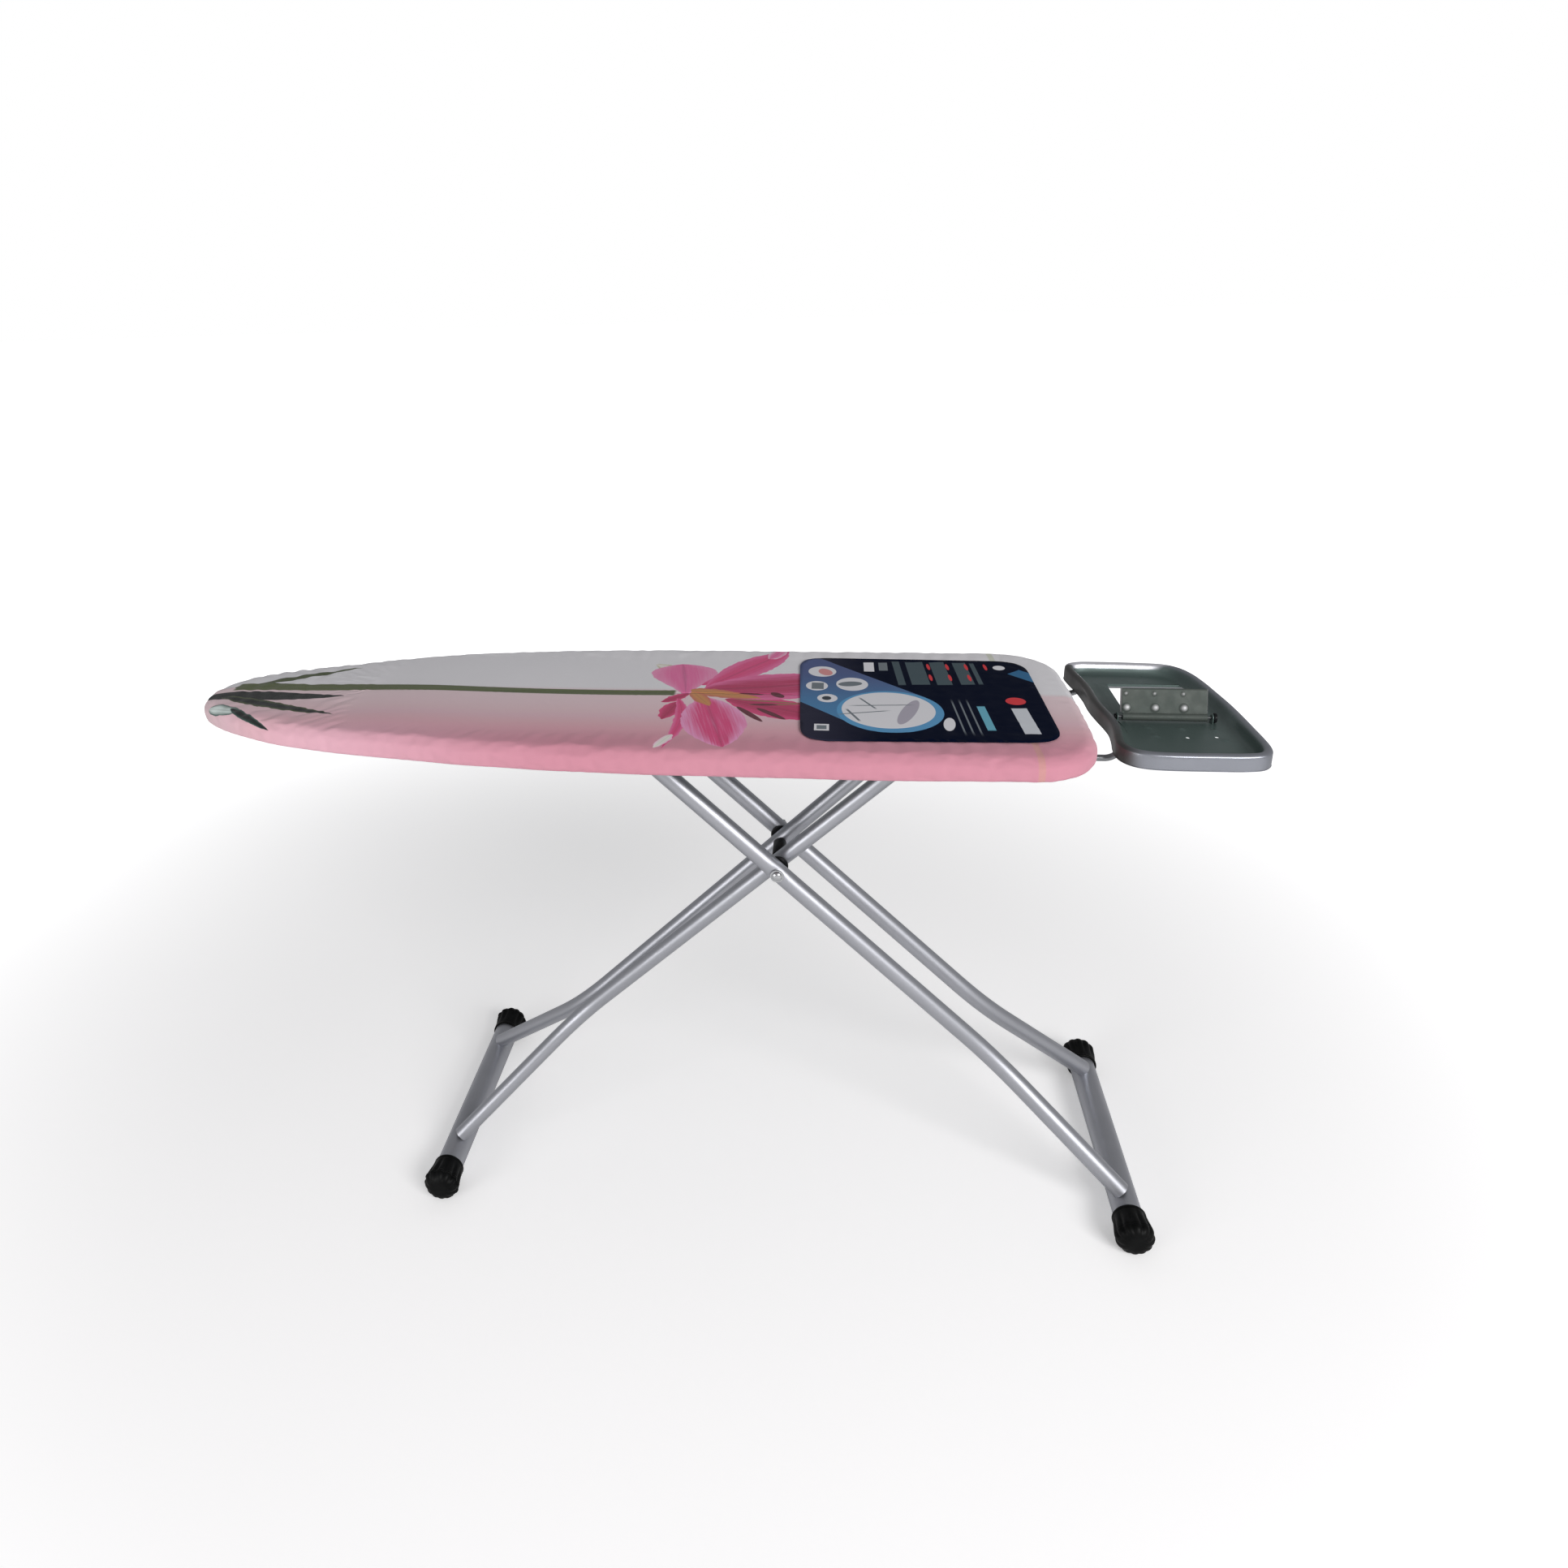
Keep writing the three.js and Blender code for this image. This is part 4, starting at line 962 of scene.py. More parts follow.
# ---- tray ----
def tray_outline(count):
    """Plan of the tray with a wavy edge towards the board: a centripetal Catmull-Rom curve."""
    keys = [
        (516, 20), (519, -12), (522, -35), (523.5, -58),
        (521.5, -80), (518, -102), (517, -119), (521, -134),
        (531, -146), (546, -152.5), (567, -155), (612, -155), (653, -153.5), (672, -149), (682, -139),
        (686.5, -124), (687, -66), (685, 0), (681, 46), (676, 92), (670, 121), (660, 143), (643, 157),
        (600, 163), (556, 165), (528, 164), (513, 157), (508, 145), (509.5, 120), (513.5, 92), (516, 58),
    ]
    keys = np.array(keys) * MM
    total = len(keys)
    fine = []
    for i in range(total):
        p = [keys[(i + k) % total] for k in (-1, 0, 1, 2)]
        knots = [0.0]
        for a, b in zip(p, p[1:]):
            knots.append(knots[-1] + sqrt(np.linalg.norm(b - a)))
        for t in np.linspace(knots[1], knots[2], 24, endpoint=False):
            rows = p
            for spans in (((0, 1), (1, 2), (2, 3)), ((0, 2), (1, 3)), ((1, 2),)):
                ends = [(knots[a], knots[b]) for a, b in spans]
                rows = [
                    ((high - t) * rows[j] + (t - low) * rows[j + 1]) / (high - low)
                    for j, (low, high) in enumerate(ends)
                ]
            fine.append(rows[0])
    fine = np.array(fine)
    steps = np.linalg.norm(np.roll(fine, -1, 0) - fine, axis=1)
    reach = np.concatenate([[0], np.cumsum(steps)])
    closed = np.vstack([fine, fine[:1]])
    wanted = np.arange(count) / count * reach[-1]
    points = np.column_stack([np.interp(wanted, reach, closed[:, k]) for k in (0, 1)])
    tangent = np.roll(points, -1, 0) - np.roll(points, 1, 0)
    tangent /= np.linalg.norm(tangent, axis=1)[:, None]
    inward = np.column_stack([-tangent[:, 1], tangent[:, 0]])
    return points, inward


def tray_profile():
    """(inset, z, rim share) from the bottom of the skirt over the rolled rim to the floor. The rim share is
    how much painted bright reflection the row gets.
    """
    keys = [
        (0.6, TRAY_SKIRT_Z, 1.0), (0.0, TRAY_SKIRT_Z + 0.0010, 1.0), (0.0, TRAY_RIM_Z - 0.0050, 1.0),
        (1.2, TRAY_RIM_Z - 0.0016, 1.0), (4.0, TRAY_RIM_Z, 1.0), (7.5, TRAY_RIM_Z - 0.0004, 0.8),
        (10.2, TRAY_RIM_Z - 0.0024, 0.15), (12.6, TRAY_FLOOR_Z + 0.0060, 0.0),
        (16.0, TRAY_FLOOR_Z + 0.0014, 0.0), (21.0, TRAY_FLOOR_Z, 0.0),
    ]
    keys = np.array(keys) * (MM, 1, 1)
    rows = []
    for i in range(len(keys) - 1):
        p = [keys[max(i - 1, 0)], keys[i], keys[i + 1], keys[min(i + 2, len(keys) - 1)]]
        for t in np.linspace(0, 1, 4, endpoint=False):
            rows.append(0.5 * (
                2 * p[1] + (p[2] - p[0]) * t + (2 * p[0] - 5 * p[1] + 4 * p[2] - p[3]) * t * t
                + (3 * p[1] - p[0] - 3 * p[2] + p[3]) * t**3
            ))
    return rows + [keys[-1]]


def floor_relief(x, y):
    """Height added to the tray's floor: pressed dots, ribs along the wavy edge, a raised lip."""
    lift = np.zeros(len(x))
    for dot_x, dot_y in FLOOR_DOTS:
        r = np.hypot(x - dot_x, y - dot_y) / DOT_R
        lift += DOT_HEIGHT * np.clip(1 - r * r, 0, 1)
    for line_x, low, high in ((0.543, -0.060, 0.118), (0.549, -0.066, 0.112)):
        wave = line_x + 0.004 * np.sin((y + 0.02) * 22)
        along = np.clip((y - low) / 0.012, 0, 1) * np.clip((high - y) / 0.012, 0, 1)
        lift += 0.0009 * along * np.exp(-(((x - wave) / 0.0016) ** 2))
    for line_x in (0.666, 0.671):
        along = np.clip((y + 0.110) / 0.02, 0, 1) * np.clip((0.110 - y) / 0.02, 0, 1)
        slant = line_x - 0.03 * (y + 0.02)
        lift += 0.0008 * along * np.exp(-(((x - slant) / 0.0016) ** 2))
    return lift


def make_tray():
    outline, inward = tray_outline(288)
    rows = tray_profile()
    points, rim = [], []
    for inset, z, share in rows:
        ring = outline + inward * inset
        points += [(x, y, z) for x, y in ring]
        rim += [share] * len(ring)
    faces = ring_faces(len(rows), len(outline))
    window = rounded_loop(WINDOW, 0.006, 6)
    bolt_holes = [
        circle(0.0026, 12, *centre) for centre in BOLT_HOLES
    ]
    flat, triangles = fill_plate(outline + inward * rows[-1][0], [window, *bolt_holes], 0.0030)
    start = len(points)
    lift = floor_relief(flat[:, 0], flat[:, 1])
    points += [(x, y, TRAY_FLOOR_Z + h) for (x, y), h in zip(flat, lift)]
    rim += [0.0] * len(flat)
    faces += [tuple(i + start for i in t) for t in triangles]
    lip_start = len(points)
    for drop in (0.0010, 0.0035):
        points += [(x, y, TRAY_FLOOR_Z - drop) for x, y in window]
        rim += [0.0] * len(window)
    hole_start = start + len(outline)
    size = len(window)
    for i in range(size):
        j = (i + 1) % size
        faces.append((hole_start + i, hole_start + j, lip_start + j, lip_start + i))
        faces.append((lip_start + i, lip_start + j, lip_start + size + j, lip_start + size + i))
    piece = make_object("iron_tray", points, faces, TRAY)
    # the rim attribute carries the painted bright reflection: 1 on the rim and skirt, 0 on the floor
    attribute = piece.data.attributes.new("rim", "FLOAT", "POINT")
    attribute.data.foreach_set("value", np.array(rim, np.float32))
    tidy(piece, 2e-5)
    if np.mean([p.normal.z * p.area for p in piece.data.polygons]) < 0:
        piece.data.flip_normals()
    modify(piece, "SOLIDIFY", thickness=TRAY_T, offset=-1.0, use_rim=True)
    modify(piece, "EDGE_SPLIT", split_angle=radians(50), use_edge_sharp=False)
    bake_modifiers(piece)
    finish_piece(piece, "board", "tray", "tray_pan")
    ear_at = STOP_HALF + 0.0053
    for side, x in (("left", STOP_HINGE.x - ear_at), ("right", STOP_HINGE.x + ear_at)):
        make_ear(side, x)
    return piece


def make_ear(side, x):
    """A tab bent up from the floor that carries the heel stop's pin."""
    half, top = 0.0055, STOP_HINGE.z + 0.0055
    loop = [(STOP_HINGE.y - half, TRAY_FLOOR_Z - 0.0004), (STOP_HINGE.y + half, TRAY_FLOOR_Z - 0.0004)]
    for a in np.linspace(0, pi, 12):
        loop.append((STOP_HINGE.y + half * cos(a), top - half + half * sin(a)))
    pin_hole = circle(0.0020, 16, STOP_HINGE.y, STOP_HINGE.z)
    flat, faces = fill_plate(loop, [pin_hole], 0.002)
    piece = make_object(f"tray_ear_{side}", [(x, y, z) for y, z in flat], faces, TRAY)
    tidy(piece)
    modify(piece, "SOLIDIFY", thickness=0.0014, offset=0.0)
    modify(piece, "BEVEL", width=0.0003, segments=2, limit_method="ANGLE")
    bake_modifiers(piece)
    return finish_piece(piece, "board", "tray")


def make_heel_stop():
    """Upright plate with pressed bumps, side flanges and a rolled foot round its pin."""
    curl = [(STOP_CURL * sin(a), STOP_CURL * cos(a)) for a in np.linspace(-4.4, 0.0, 22)]
    plate = [(0.0, z) for z in np.linspace(0.0055, STOP_HEIGHT - 0.0016, 22)]
    lip = [(0.0016 * (1 - cos(a)), STOP_HEIGHT - 0.0016 + 0.0016 * sin(a)) for a in (0.8, 1.6, 2.4)]
    section = curl + plate + lip
    columns = np.linspace(-STOP_HALF + 0.001, STOP_HALF - 0.001, 86)
    points, shade = [], []
    for y, z in section:
        for x in columns:
            push = 0.0
            glint = 0.0
            if z > 0.006:
                for bump_x in STOP_BUMPS:
                    big = hypot(x - bump_x, z - 0.0115) / 0.0056
                    small = hypot(x - bump_x + 0.001, z - 0.0290) / 0.0029
                    push += 0.0032 * max(0.0, 1 - big * big) + 0.0016 * max(0.0, 1 - small * small)
                    # glint: painted highlight on the bump tops, stored in the rim attribute
                    glint = max(glint, 1.0 - 1.3 * big, 0.7 - small)
            points.append((x, y - push, z))
            shade.append(glint)
    count = len(columns)
    faces = []
    for r in range(len(section) - 1):
        for i in range(count - 1):
            a = r * count + i
            faces.append((a, a + 1, a + count + 1, a + count))
    first = len(curl)
    for column, inward in ((0, 1), (count - 1, -1)):
        edge = [r * count + column for r in range(first, len(section))]
        for depth in (0.0014, 0.0056):
            start = len(points)
            for r in range(first, len(section)):
                x, y, z = points[r * count + column]
                points.append((x - inward * 0.0008, 0.0 + depth, z))
            fresh = list(range(start, len(points)))
            for a, b, c, d in zip(edge, edge[1:], fresh[1:], fresh):
                faces.append((a, b, c, d))
            edge = fresh
    lean = Matrix.Rotation(-STOP_LEAN, 4, "X")
    place = Matrix.Translation(STOP_HINGE) @ lean
    piece = make_object("heel_stop", [place @ Vector(p) for p in points], faces, PLATE)
    attribute = piece.data.attributes.new("rim", "FLOAT", "POINT")
    # the side flanges get a half-strength painted highlight
    shade += [0.5] * (len(points) - len(shade))
    attribute.data.foreach_set("value", np.array(shade, np.float32))
    tidy(piece, 1e-5)
    modify(piece, "SOLIDIFY", thickness=0.0011, offset=0.0, use_rim=True)
    modify(piece, "EDGE_SPLIT", split_angle=radians(50), use_edge_sharp=False)
    bake_modifiers(piece)
    return finish_piece(piece, "heel_stop", "tray", "heel_stop_plate")


def make_stop_fittings():
    x_axis = (1, 0, 0)
    half, radius = 0.061, 0.00175
    pin = [
        (0, -half), (0.0014, -half), (radius, -0.0606), (radius, 0.0606), (0.0014, half), (0, half),
    ]
    rod = lathe("heel_stop_pin_rod", pin, STOP_HINGE, x_axis, PIN, 20)
    finish_piece(rod, "board", "bolt", "heel_stop_pin")
    for name, outer in (("small", 0.0036), ("large", 0.0062)):
        node = f"heel_stop_bush_{name}"
        low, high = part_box(node)
        profile = sleeve(0.0019, outer, low.x - STOP_HINGE.x, high.x - STOP_HINGE.x, 0.0008)
        piece = lathe(f"pin_bush_{name}", profile, STOP_HINGE, x_axis, PLASTIC, 32)
        finish_piece(piece, "board", "plastic", node)


# ---- tubes ----
def rounded_path(corners, reach, steps):
    """A polyline with its inner corners rounded by a quadratic curve."""
    path = [corners[0]]
    for before, here, after in zip(corners, corners[1:], corners[2:]):
        start = here.lerp(before, reach / (before - here).length)
        stop = here.lerp(after, reach / (after - here).length)
        for t in np.linspace(0, 1, steps):
            path.append(start * (1 - t) ** 2 + here * 2 * t * (1 - t) + stop * t * t)
    path.append(corners[-1])
    return path


def densify(path, step):
    """Points every step along a polyline."""
    dense = [path[0]]
    for a, b in zip(path, path[1:]):
        parts = max(1, round((b - a).length / step))
        dense += [a.lerp(b, k / parts) for k in range(1, parts + 1)]
    return dense


def tube(name, path, radius, wall, material, count=40, dent=None):
    """A hollow tube with open ends along a path that never runs parallel to Y."""
    rings = []
    ends = [(0, radius - 0.4 * wall)] + [(k, radius) for k in range(len(path))]
    ends += [(len(path) - 1, radius - 0.4 * wall)]
    inner = [(k, radius - wall) for k in range(len(path) - 1, -1, -1)]
    for k, r in ends + inner:
        tangent = (path[min(k + 1, len(path) - 1)] - path[max(k - 1, 0)]).normalized()
        u = (Vector((0, 1, 0)) - tangent * tangent.y).normalized()
        v = tangent.cross(u)
        for i in range(count):
            a = 2 * pi * i / count
            point = path[k] + u * (r * cos(a)) + v * (r * sin(a))
            if dent:
                centre, depth, size = dent
                far = (point - centre).length / size
                if far < 1:
                    point.y += depth * (1 - far * far) ** 2
            rings.append(point)
    total = len(ends) + len(inner)
    piece = make_object(name, rings, ring_faces(total, count, closed=True), material)
    return tidy(piece, 1e-7, sharp=60)


def cut_holes(piece, *holes):
    """Cuts round bores along Y: each hole is (radius, x, z, half length)."""
    for radius, x, z, half in holes:
        rows = [(0, -half), (radius, -half), (radius, half), (0, half)]
        cutter = lathe("cutter", rows, (x, 0, z), (0, 1, 0), None, 28)
        modify(piece, "BOOLEAN", operation="DIFFERENCE", object=cutter, solver="EXACT")
        bake_modifiers(piece)
        bpy.data.objects.remove(cutter)
    return piece


LEG_ANGLE = atan2(AXLE.z - LEG_END_Z, LEG_REACH)
UPPER_LEG = (HINGE_Z - AXLE.z) / sin(LEG_ANGLE)
LOWER_LEG = LEG_REACH / cos(LEG_ANGLE)
LEG_LIFT = 0.006  # the cut end lies on the upper side of the foot tube
LEG_SHORT = 0.008  # and stops short of its middle
CAP_END = 0.0150  # radius of the cap's rounded end
CAP_SWELL = 0.030  # length over which the neck swells to the bulb
CAP_SKIN = 0.0006
FLUTE_DEPTH = 0.0024
AXLE_BORE = 0.0043
BAR_BORE = 0.0063


def leg_path(direction, side, halves):
    top_half, bend_half, foot_half = halves
    top = UPPER_LEG + 0.011
    slope = (top_half - bend_half) / (UPPER_LEG + BEND_AT * LOWER_LEG)

    def at(s, half, lift=0.0):
        x = AXLE.x + direction * s * cos(LEG_ANGLE)
        return Vector((x, side * half, AXLE.z - s * sin(LEG_ANGLE) + lift))

    start = at(-top, top_half - slope * (UPPER_LEG - top))
    corners = [start, at(BEND_AT * LOWER_LEG, bend_half), at(LOWER_LEG - LEG_SHORT, foot_half, LEG_LIFT)]
    return densify(rounded_path(corners, 0.055, 12), 0.008)


def make_legs():
    for name, spec, body in (("outer", OUTER, "outer_frame"), ("inner", INNER, "inner_frame")):
        direction, radius = spec["dir"], spec["radius"]
        bar_x = AXLE.x - direction * UPPER_LEG * cos(LEG_ANGLE)
        for side_name, side in (("near", -1), ("far", 1)):
            dent = None
            if name == "outer":
                face = Vector((AXLE.x, side * (spec["halves"][0] + radius), AXLE.z))
                dent = (face, -side * 0.0022, 0.015)
            path = leg_path(direction, side, spec["halves"])
            piece = tube(f"leg_tube_{name}_{side_name}", path, radius, 0.0012, TUBE, dent=dent)
            cut_holes(piece, (AXLE_BORE, AXLE.x, AXLE.z, 0.2), (BAR_BORE, bar_x, HINGE_Z, 0.2))
            finish_piece(piece, body, "tube", f"leg_{name}_{side_name}")
        foot_x = AXLE.x + direction * LEG_REACH
        profile = sleeve(FOOT_R - 0.0015, FOOT_R, -FOOT_HALF, FOOT_HALF)
        foot = lathe(f"floor_tube_{name}", profile, (foot_x, 0, FOOT_Z), (0, 1, 0), TUBE, 64)
        finish_piece(foot, body, "tube", f"foot_tube_{name}")
        for side_name, side in (("near", -1), ("far", 1)):
            make_foot_cap(name, body, foot_x, side_name, side)


def make_foot_cap(name, body, foot_x, side_name, side):
    """Fluted rubber cap: narrow neck on the tube, a swelling bulb and a flat to stand on."""
    count = 16 * FLUTES
    bore, neck, bulb = FOOT_R + 0.0004, FOOT_R + 0.0028, CAP_R + 0.0002
    collar = CAP_NECK + 0.0042  # where the neck ends and the bulb starts to swell
    tip = CAP_HALF - CAP_END
    rows = [  # radius, along, depth of the flutes
        (bore, CAP_NECK + 0.002, 0), (bore, CAP_NECK, 0), (neck - 0.0006, CAP_NECK, 0),
        (neck, CAP_NECK + 0.0008, 0), (neck, CAP_NECK + 0.0035, 0), (neck - 0.0004, collar, 0.0001),
    ]
    for t in np.linspace(0, 1, 16)[1:]:
        swell = t * t * (3 - 2 * t)
        rows.append((neck + (bulb - neck) * swell, collar + CAP_SWELL * t, FLUTE_DEPTH * min(1, 1.6 * t)))
    for t in np.linspace(0, 1, 7)[1:]:
        rows.append((bulb, collar + CAP_SWELL + (tip - collar - CAP_SWELL) * t, FLUTE_DEPTH))
    for a in np.linspace(0, pi / 2, 14)[1:]:
        radius = CAP_R - CAP_END + (CAP_END + 0.0002) * cos(a)
        rows.append((radius, tip + (CAP_END - 0.0002) * sin(a), FLUTE_DEPTH * (1 - a / 1.7)))
    for t in (0.7, 0.35, 0.02):
        rows.append(((CAP_R - CAP_END) * t, CAP_HALF - 0.0002, 0))
    points = []
    for radius, along, flute in rows:
        for i in range(count):
            a = 2 * pi * i / count
            r = radius - flute * (0.5 - 0.5 * cos(FLUTES * a)) ** 1.6
            z = max(FOOT_Z + r * sin(a), CAP_SKIN)
            points.append((foot_x + r * cos(a), side * along, z))
    piece = make_object(f"rubber_cap_{name}_{side_name}", points, ring_faces(len(rows), count), RUBBER)
    tidy(piece, 1e-6)
    close_ends(piece, CAP_NECK + 0.03)
    modify(piece, "SOLIDIFY", thickness=CAP_SKIN, offset=-1.0)
    bake_modifiers(piece)
    return finish_piece(piece, body, "rubber", f"foot_cap_{name}_{side_name}")


# ---- pivot and underside fittings ----
def make_pivot():
    y_axis = (0, 1, 0)
    half = OUTER["halves"][0] + OUTER["radius"]
    head = [
        (0, -half - 0.0048), (0.0030, -half - 0.0046), (0.0056, -half - 0.0036), (0.0070, -half - 0.0018),
        (0.0072, -half - 0.0010), (0.0090, -half - 0.0010),
        (0.0092, -half - 0.0004), (0.0090, -half - 0.0001),
        (0.0040, -half), (0.0040, half + 0.0052), (0.0032, half + 0.0060), (0, half + 0.0060),
    ]
    axle = lathe("pivot_bolt", head, AXLE, y_axis, BOLT, 48)
    finish_piece(axle, "inner_frame", "bolt", "crossing_axle")
    nut_rows = sleeve(AXLE_BORE, 0.0086, half + 0.0003, half + 0.0055, 0.0007)
    nut = lathe("pivot_nut", nut_rows, AXLE, y_axis, BOLT, 6)
    modify(nut, "BEVEL", width=0.0004, segments=3, limit_method="ANGLE")
    bake_modifiers(nut)
    finish_piece(nut, "inner_frame", "bolt", "axle_nut")
    for side, sign in (("near", -1), ("far", 1)):
        low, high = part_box(f"axle_bush_{side}")
        inner, outer = sorted((abs(low.y), abs(high.y)))
        waist = (inner + outer) / 2
        rows = [
            (AXLE_BORE, inner), (0.0128, inner), (0.0140, inner + 0.0008), (0.0138, inner + 0.0026),
            (0.0116, inner + 0.0046), (0.0108, waist), (0.0116, outer - 0.0046), (0.0138, outer - 0.0026),
            (0.0140, outer - 0.0008), (0.0128, outer), (AXLE_BORE, outer),
        ]
        bush = lathe(f"pivot_bush_{side}", rows, AXLE, (0, sign, 0), PLASTIC, 48)
        finish_piece(bush, "inner_frame", "plastic", f"axle_bush_{side}")
    low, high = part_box("axle_spacer")
    rows = sleeve(AXLE_BORE, 0.0092, low.y, high.y, 0.001)
    spacer = lathe("pivot_spacer", rows, AXLE, y_axis, PLASTIC, 40)
    finish_piece(spacer, "inner_frame", "plastic", "axle_spacer")


def make_bars():
    for name, body in (("inner", "inner_frame"), ("outer", "outer_frame")):
        low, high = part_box(f"top_bar_{name}")
        half, centre = high.y, ((low.x + high.x) / 2, 0, HINGE_Z)
        rows = [
            (0, -half), (0.0050, -half), (0.0060, -half + 0.0010),
            (0.0060, half - 0.0010), (0.0050, half), (0, half),
        ]
        bar = lathe(f"cross_bar_{name}", rows, centre, (0, 1, 0), STEEL, 36)
        finish_piece(bar, body, "steel", f"top_bar_{name}")
    for side, sign in (("near", -1), ("far", 1)):
        low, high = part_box(f"slide_roller_{side}")
        inner, outer = sorted((abs(low.y), abs(high.y)))
        centre = ((low.x + high.x) / 2, 0, HINGE_Z)
        rows = [
            (BAR_BORE, inner), (0.0080, inner), (0.0090, inner + 0.0008), (0.0084, (inner + outer) / 2),
            (0.0090, outer - 0.0008), (0.0080, outer), (BAR_BORE, outer),
        ]
        roller = lathe(f"slide_wheel_{side}", rows, centre, (0, sign, 0), PLASTIC, 40)
        finish_piece(roller, "outer_frame", "plastic", f"slide_roller_{side}")


def make_rods():
    """The two rods that carry the tray, joggled up to its floor."""
    for side, y in (("near", -0.096), ("far", 0.120)):
        low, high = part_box(f"tray_rod_{side}")
        low_z, high_z = low.z + 0.004, high.z - 0.004
        corners = [Vector(p) for p in (
            (low.x, y, low_z), (0.517, y, low_z), (0.534, y, high_z), (high.x, y, high_z),
        )]
        path = densify(rounded_path(corners, 0.007, 8), 0.006)
        rings = []
        radii = [(0, 0.0004), (0, 0.0032)] + [(k, 0.004) for k in range(len(path))]
        radii += [(len(path) - 1, 0.0032), (len(path) - 1, 0.0004)]
        for k, r in radii:
            tangent = (path[min(k + 1, len(path) - 1)] - path[max(k - 1, 0)]).normalized()
            u = Vector((0, 1, 0))
            v = tangent.cross(u)
            rings += [path[k] + u * across + v * along for across, along in circle(r, 24)]
        piece = make_object(f"carrier_rod_{side}", rings, ring_faces(len(radii), 24), STEEL)
        close_ends(piece)
        finish_piece(piece, "board", "steel", f"tray_rod_{side}")


def make_lever_grip():
    """Moulded grip with finger ridges on the end of the height lever."""
    low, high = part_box("lever_grip")
    centre = (low + high) / 2
    half, radius = (high.x - low.x) / 2, (high.z - low.z) / 2
    rows = []
    for t in np.linspace(-1, 1, 90):
        along = half * t
        end = sqrt(max(0.0, 1 - max(0.0, (abs(along) - half + radius) / radius) ** 2))
        ridge = 0.0007 * cos(along / 0.0032) * (abs(along) < 0.7 * half)
        rows.append((max(0.0, radius * end - 0.0007 + ridge) if abs(t) < 1 else 0.0, along))
    piece = lathe("lever_handle", rows, centre, (1, 0, 0), GRIP, 40)
    finish_piece(piece, "lever", "grip", "lever_grip")


def dress_cad_nodes():
    """Materials and softened edges for the CAD nodes that stay as they are."""
    looks = {
        "deck": DECK, "edge_frame": STEEL, "rod_clamp": STEEL, "height_rail": STEEL, "hinge_bracket": STEEL,
        "cross_rib": STEEL, "lever_arm": STEEL, "lever_pivot": BOLT,
    }
    for name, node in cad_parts.items():
        for start, material in looks.items():
            if name.startswith(start):
                node.data.materials.clear()
                node.data.materials.append(material)
                if name not in ("deck", "edge_frame"):
                    modify(node, "BEVEL", width=0.0004, segments=2, limit_method="ANGLE")


# ---- studio ----
EYE = (0.181395, -1.347258, 1.236386)
LENS_MM = 25.1329
SHIFT = (0.0655737, -0.0620278)
LAMP_COLOUR = (1.0, 0.985, 0.985)
KEY_POWER = 106
FILL_POWER = 26
FLOOR_GLOW = 0.30  # light of the floor under the board, seen by the camera only
FLOOR_Z = -0.0005
FLOOR_HALF = 30.0


def make_camera():
    data = bpy.data.cameras.new("camera")
    data.sensor_width = 36
    data.lens = LENS_MM
    data.shift_x, data.shift_y = SHIFT
    data.clip_end = 100
    right = Vector((0.99103862, 0.12930999, -0.03348699))
    forward = Vector((-0.13278401, 0.92645151, -0.35221584))
    up = Vector((-0.01452095, 0.35350604, 0.93531953))
    camera = bpy.data.objects.new("camera", data)
    turn = Matrix((right, up, -forward)).transposed().to_4x4()
    camera.matrix_world = Matrix.Translation(EYE) @ turn
    bpy.context.scene.collection.objects.link(camera)
    bpy.context.scene.camera = camera


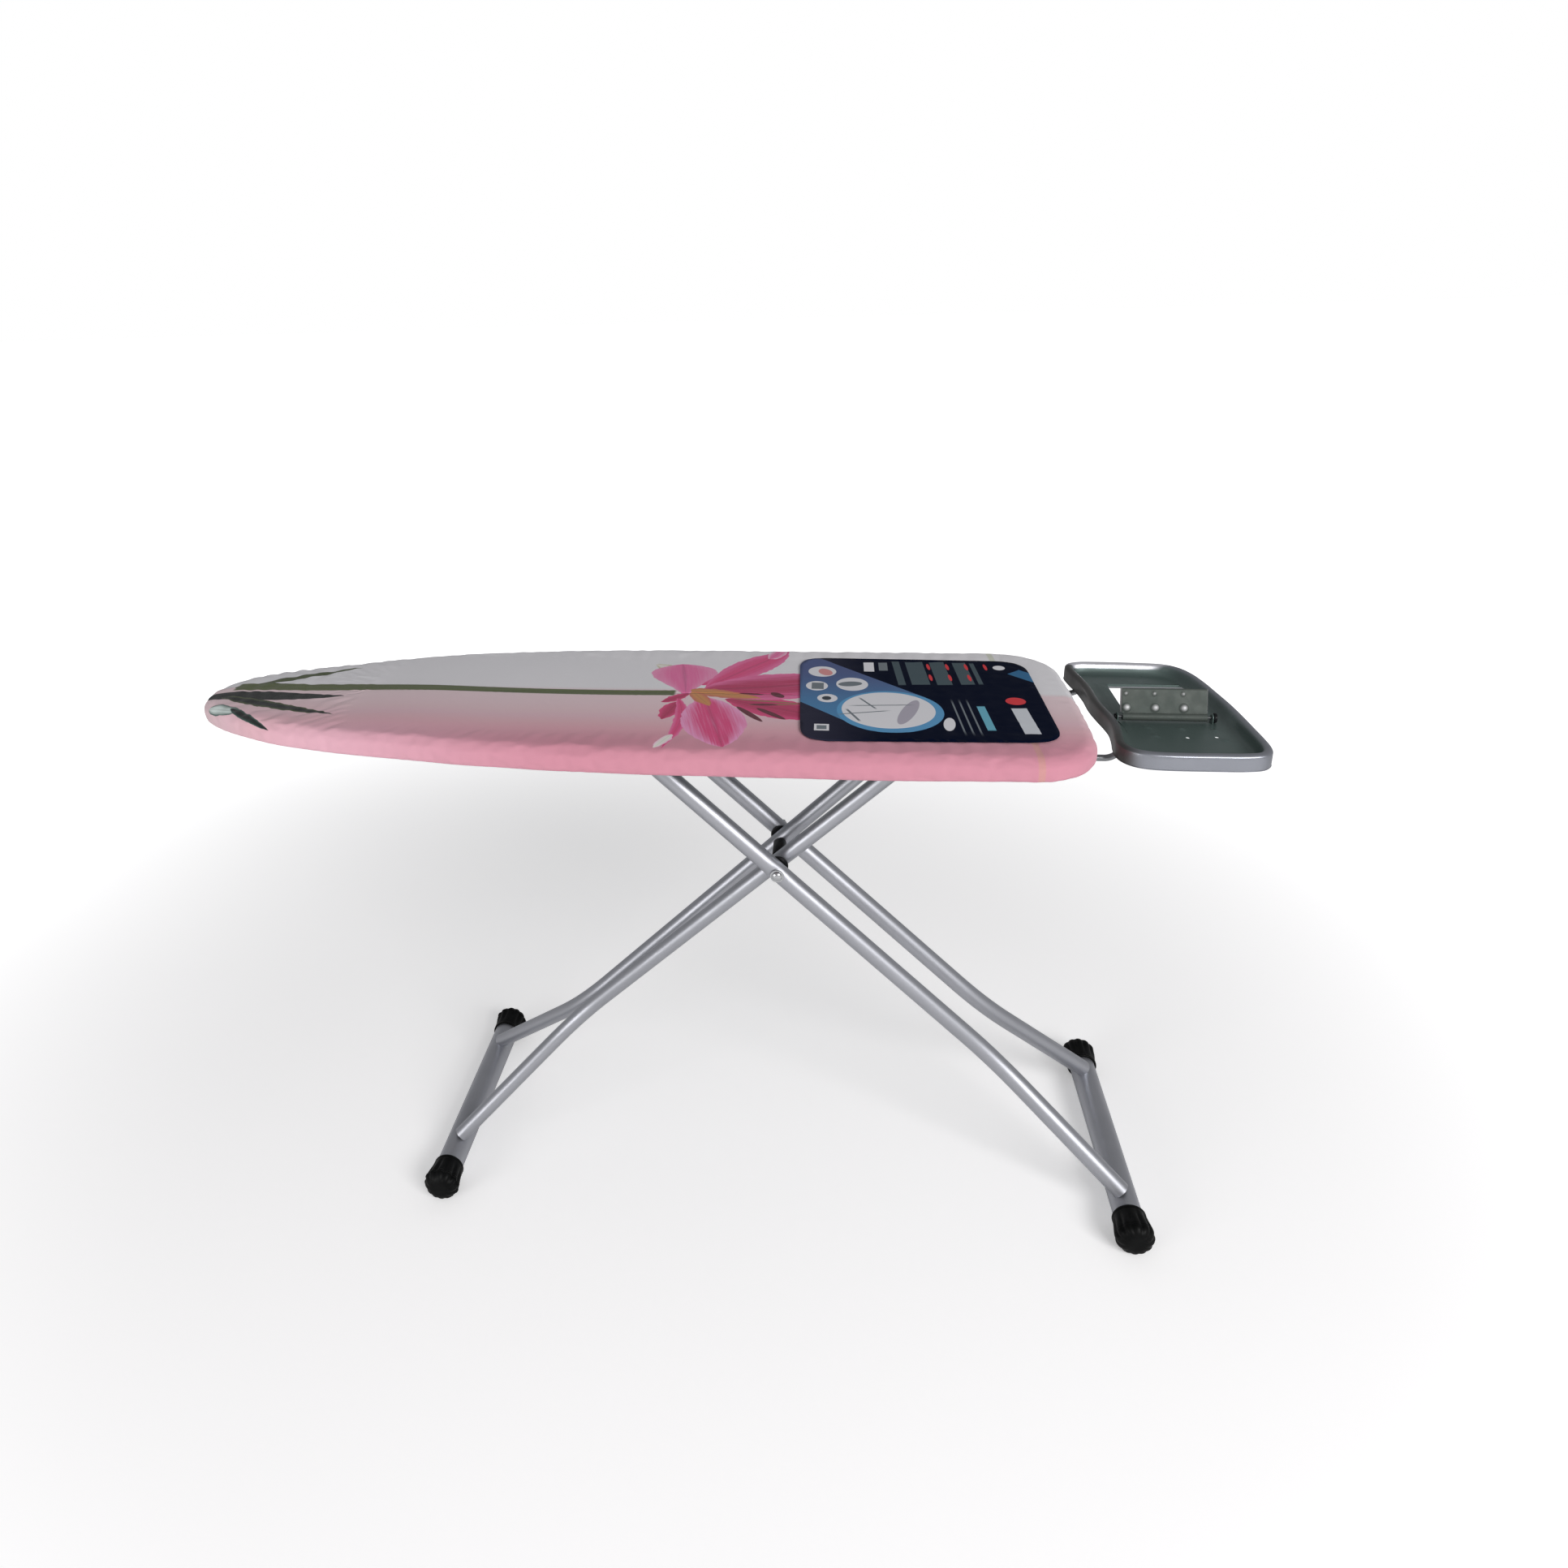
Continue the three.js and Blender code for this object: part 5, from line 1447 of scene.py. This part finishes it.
def area_light(name, place, aim, size, power):
    data = bpy.data.lights.new(name, "AREA")
    data.shape = "RECTANGLE"
    data.size, data.size_y = size
    data.energy = power
    data.color = LAMP_COLOUR
    lamp = bpy.data.objects.new(name, data)
    lamp.location = place
    lamp.rotation_mode = "QUATERNION"
    lamp.rotation_quaternion = (Vector(aim) - Vector(place)).to_track_quat("-Z", "Y")
    bpy.context.scene.collection.objects.link(lamp)


def make_studio():
    """Pale floor that fades into a white background, a low key light and a dim sky."""
    points = [(x * FLOOR_HALF, y * FLOOR_HALF, FLOOR_Z) for x, y in ((-1, -1), (1, -1), (1, 1), (-1, 1))]
    material, shader, place = new_material("studio_floor", (0.92, 0.92, 0.92, 1), Roughness=0.9)
    shader.inputs["Specular IOR Level"].default_value = 0.1
    soft = noise(place, 1.5, 2.0)
    feed(shader, Base_Color=mix(soft, (0.93, 0.93, 0.93, 1), (0.90, 0.90, 0.90, 1)))
    far = band(vector("LENGTH", place), 0.7, 3.0, FLOOR_GLOW, 1.2)
    shader.inputs["Emission Color"].default_value = (1, 1, 1, 1)
    seen = add("ShaderNodeLightPath", output="Is Camera Ray")
    feed(shader, Emission_Strength=far * seen)
    floor = make_object("studio_floor", points, [(0, 1, 2, 3)], material)
    world = bpy.data.worlds.new("studio")
    world.use_nodes = True
    bpy.context.scene.world = world
    Wire.tree = world.node_tree
    background = Wire.tree.nodes["Background"]
    direction = add("ShaderNodeTexCoord", output="Generated")
    height = split(direction)[2]
    sky = ramp(height, [
        (0.0, (0.45, 0.45, 0.46, 1)), (0.2, (0.30, 0.30, 0.31, 1)), (1.0, (0.26, 0.26, 0.265, 1)),
    ])
    camera_ray = add("ShaderNodeLightPath", output="Is Camera Ray")
    link(background.inputs["Color"], mix(camera_ray, sky, (1, 1, 1, 1)))
    background.inputs["Strength"].default_value = 1.0
    area_light("key", (2.30, -2.90, 2.30), (0, 0, 0.62), (2.2, 1.2), KEY_POWER)
    area_light("fill", (-2.0, -2.4, 0.95), (-0.3, 0, 0.62), (1.6, 1.0), FILL_POWER)
    scene = bpy.context.scene
    scene.view_settings.view_transform = "Standard"
    scene.view_settings.look = "None"


make_camera()
make_studio()
make_pad()
cover_piece = make_cover()
make_card(cover_piece)
make_tray()
make_heel_stop()
make_stop_fittings()
make_legs()
make_pivot()
make_bars()
make_rods()
make_lever_grip()
dress_cad_nodes()
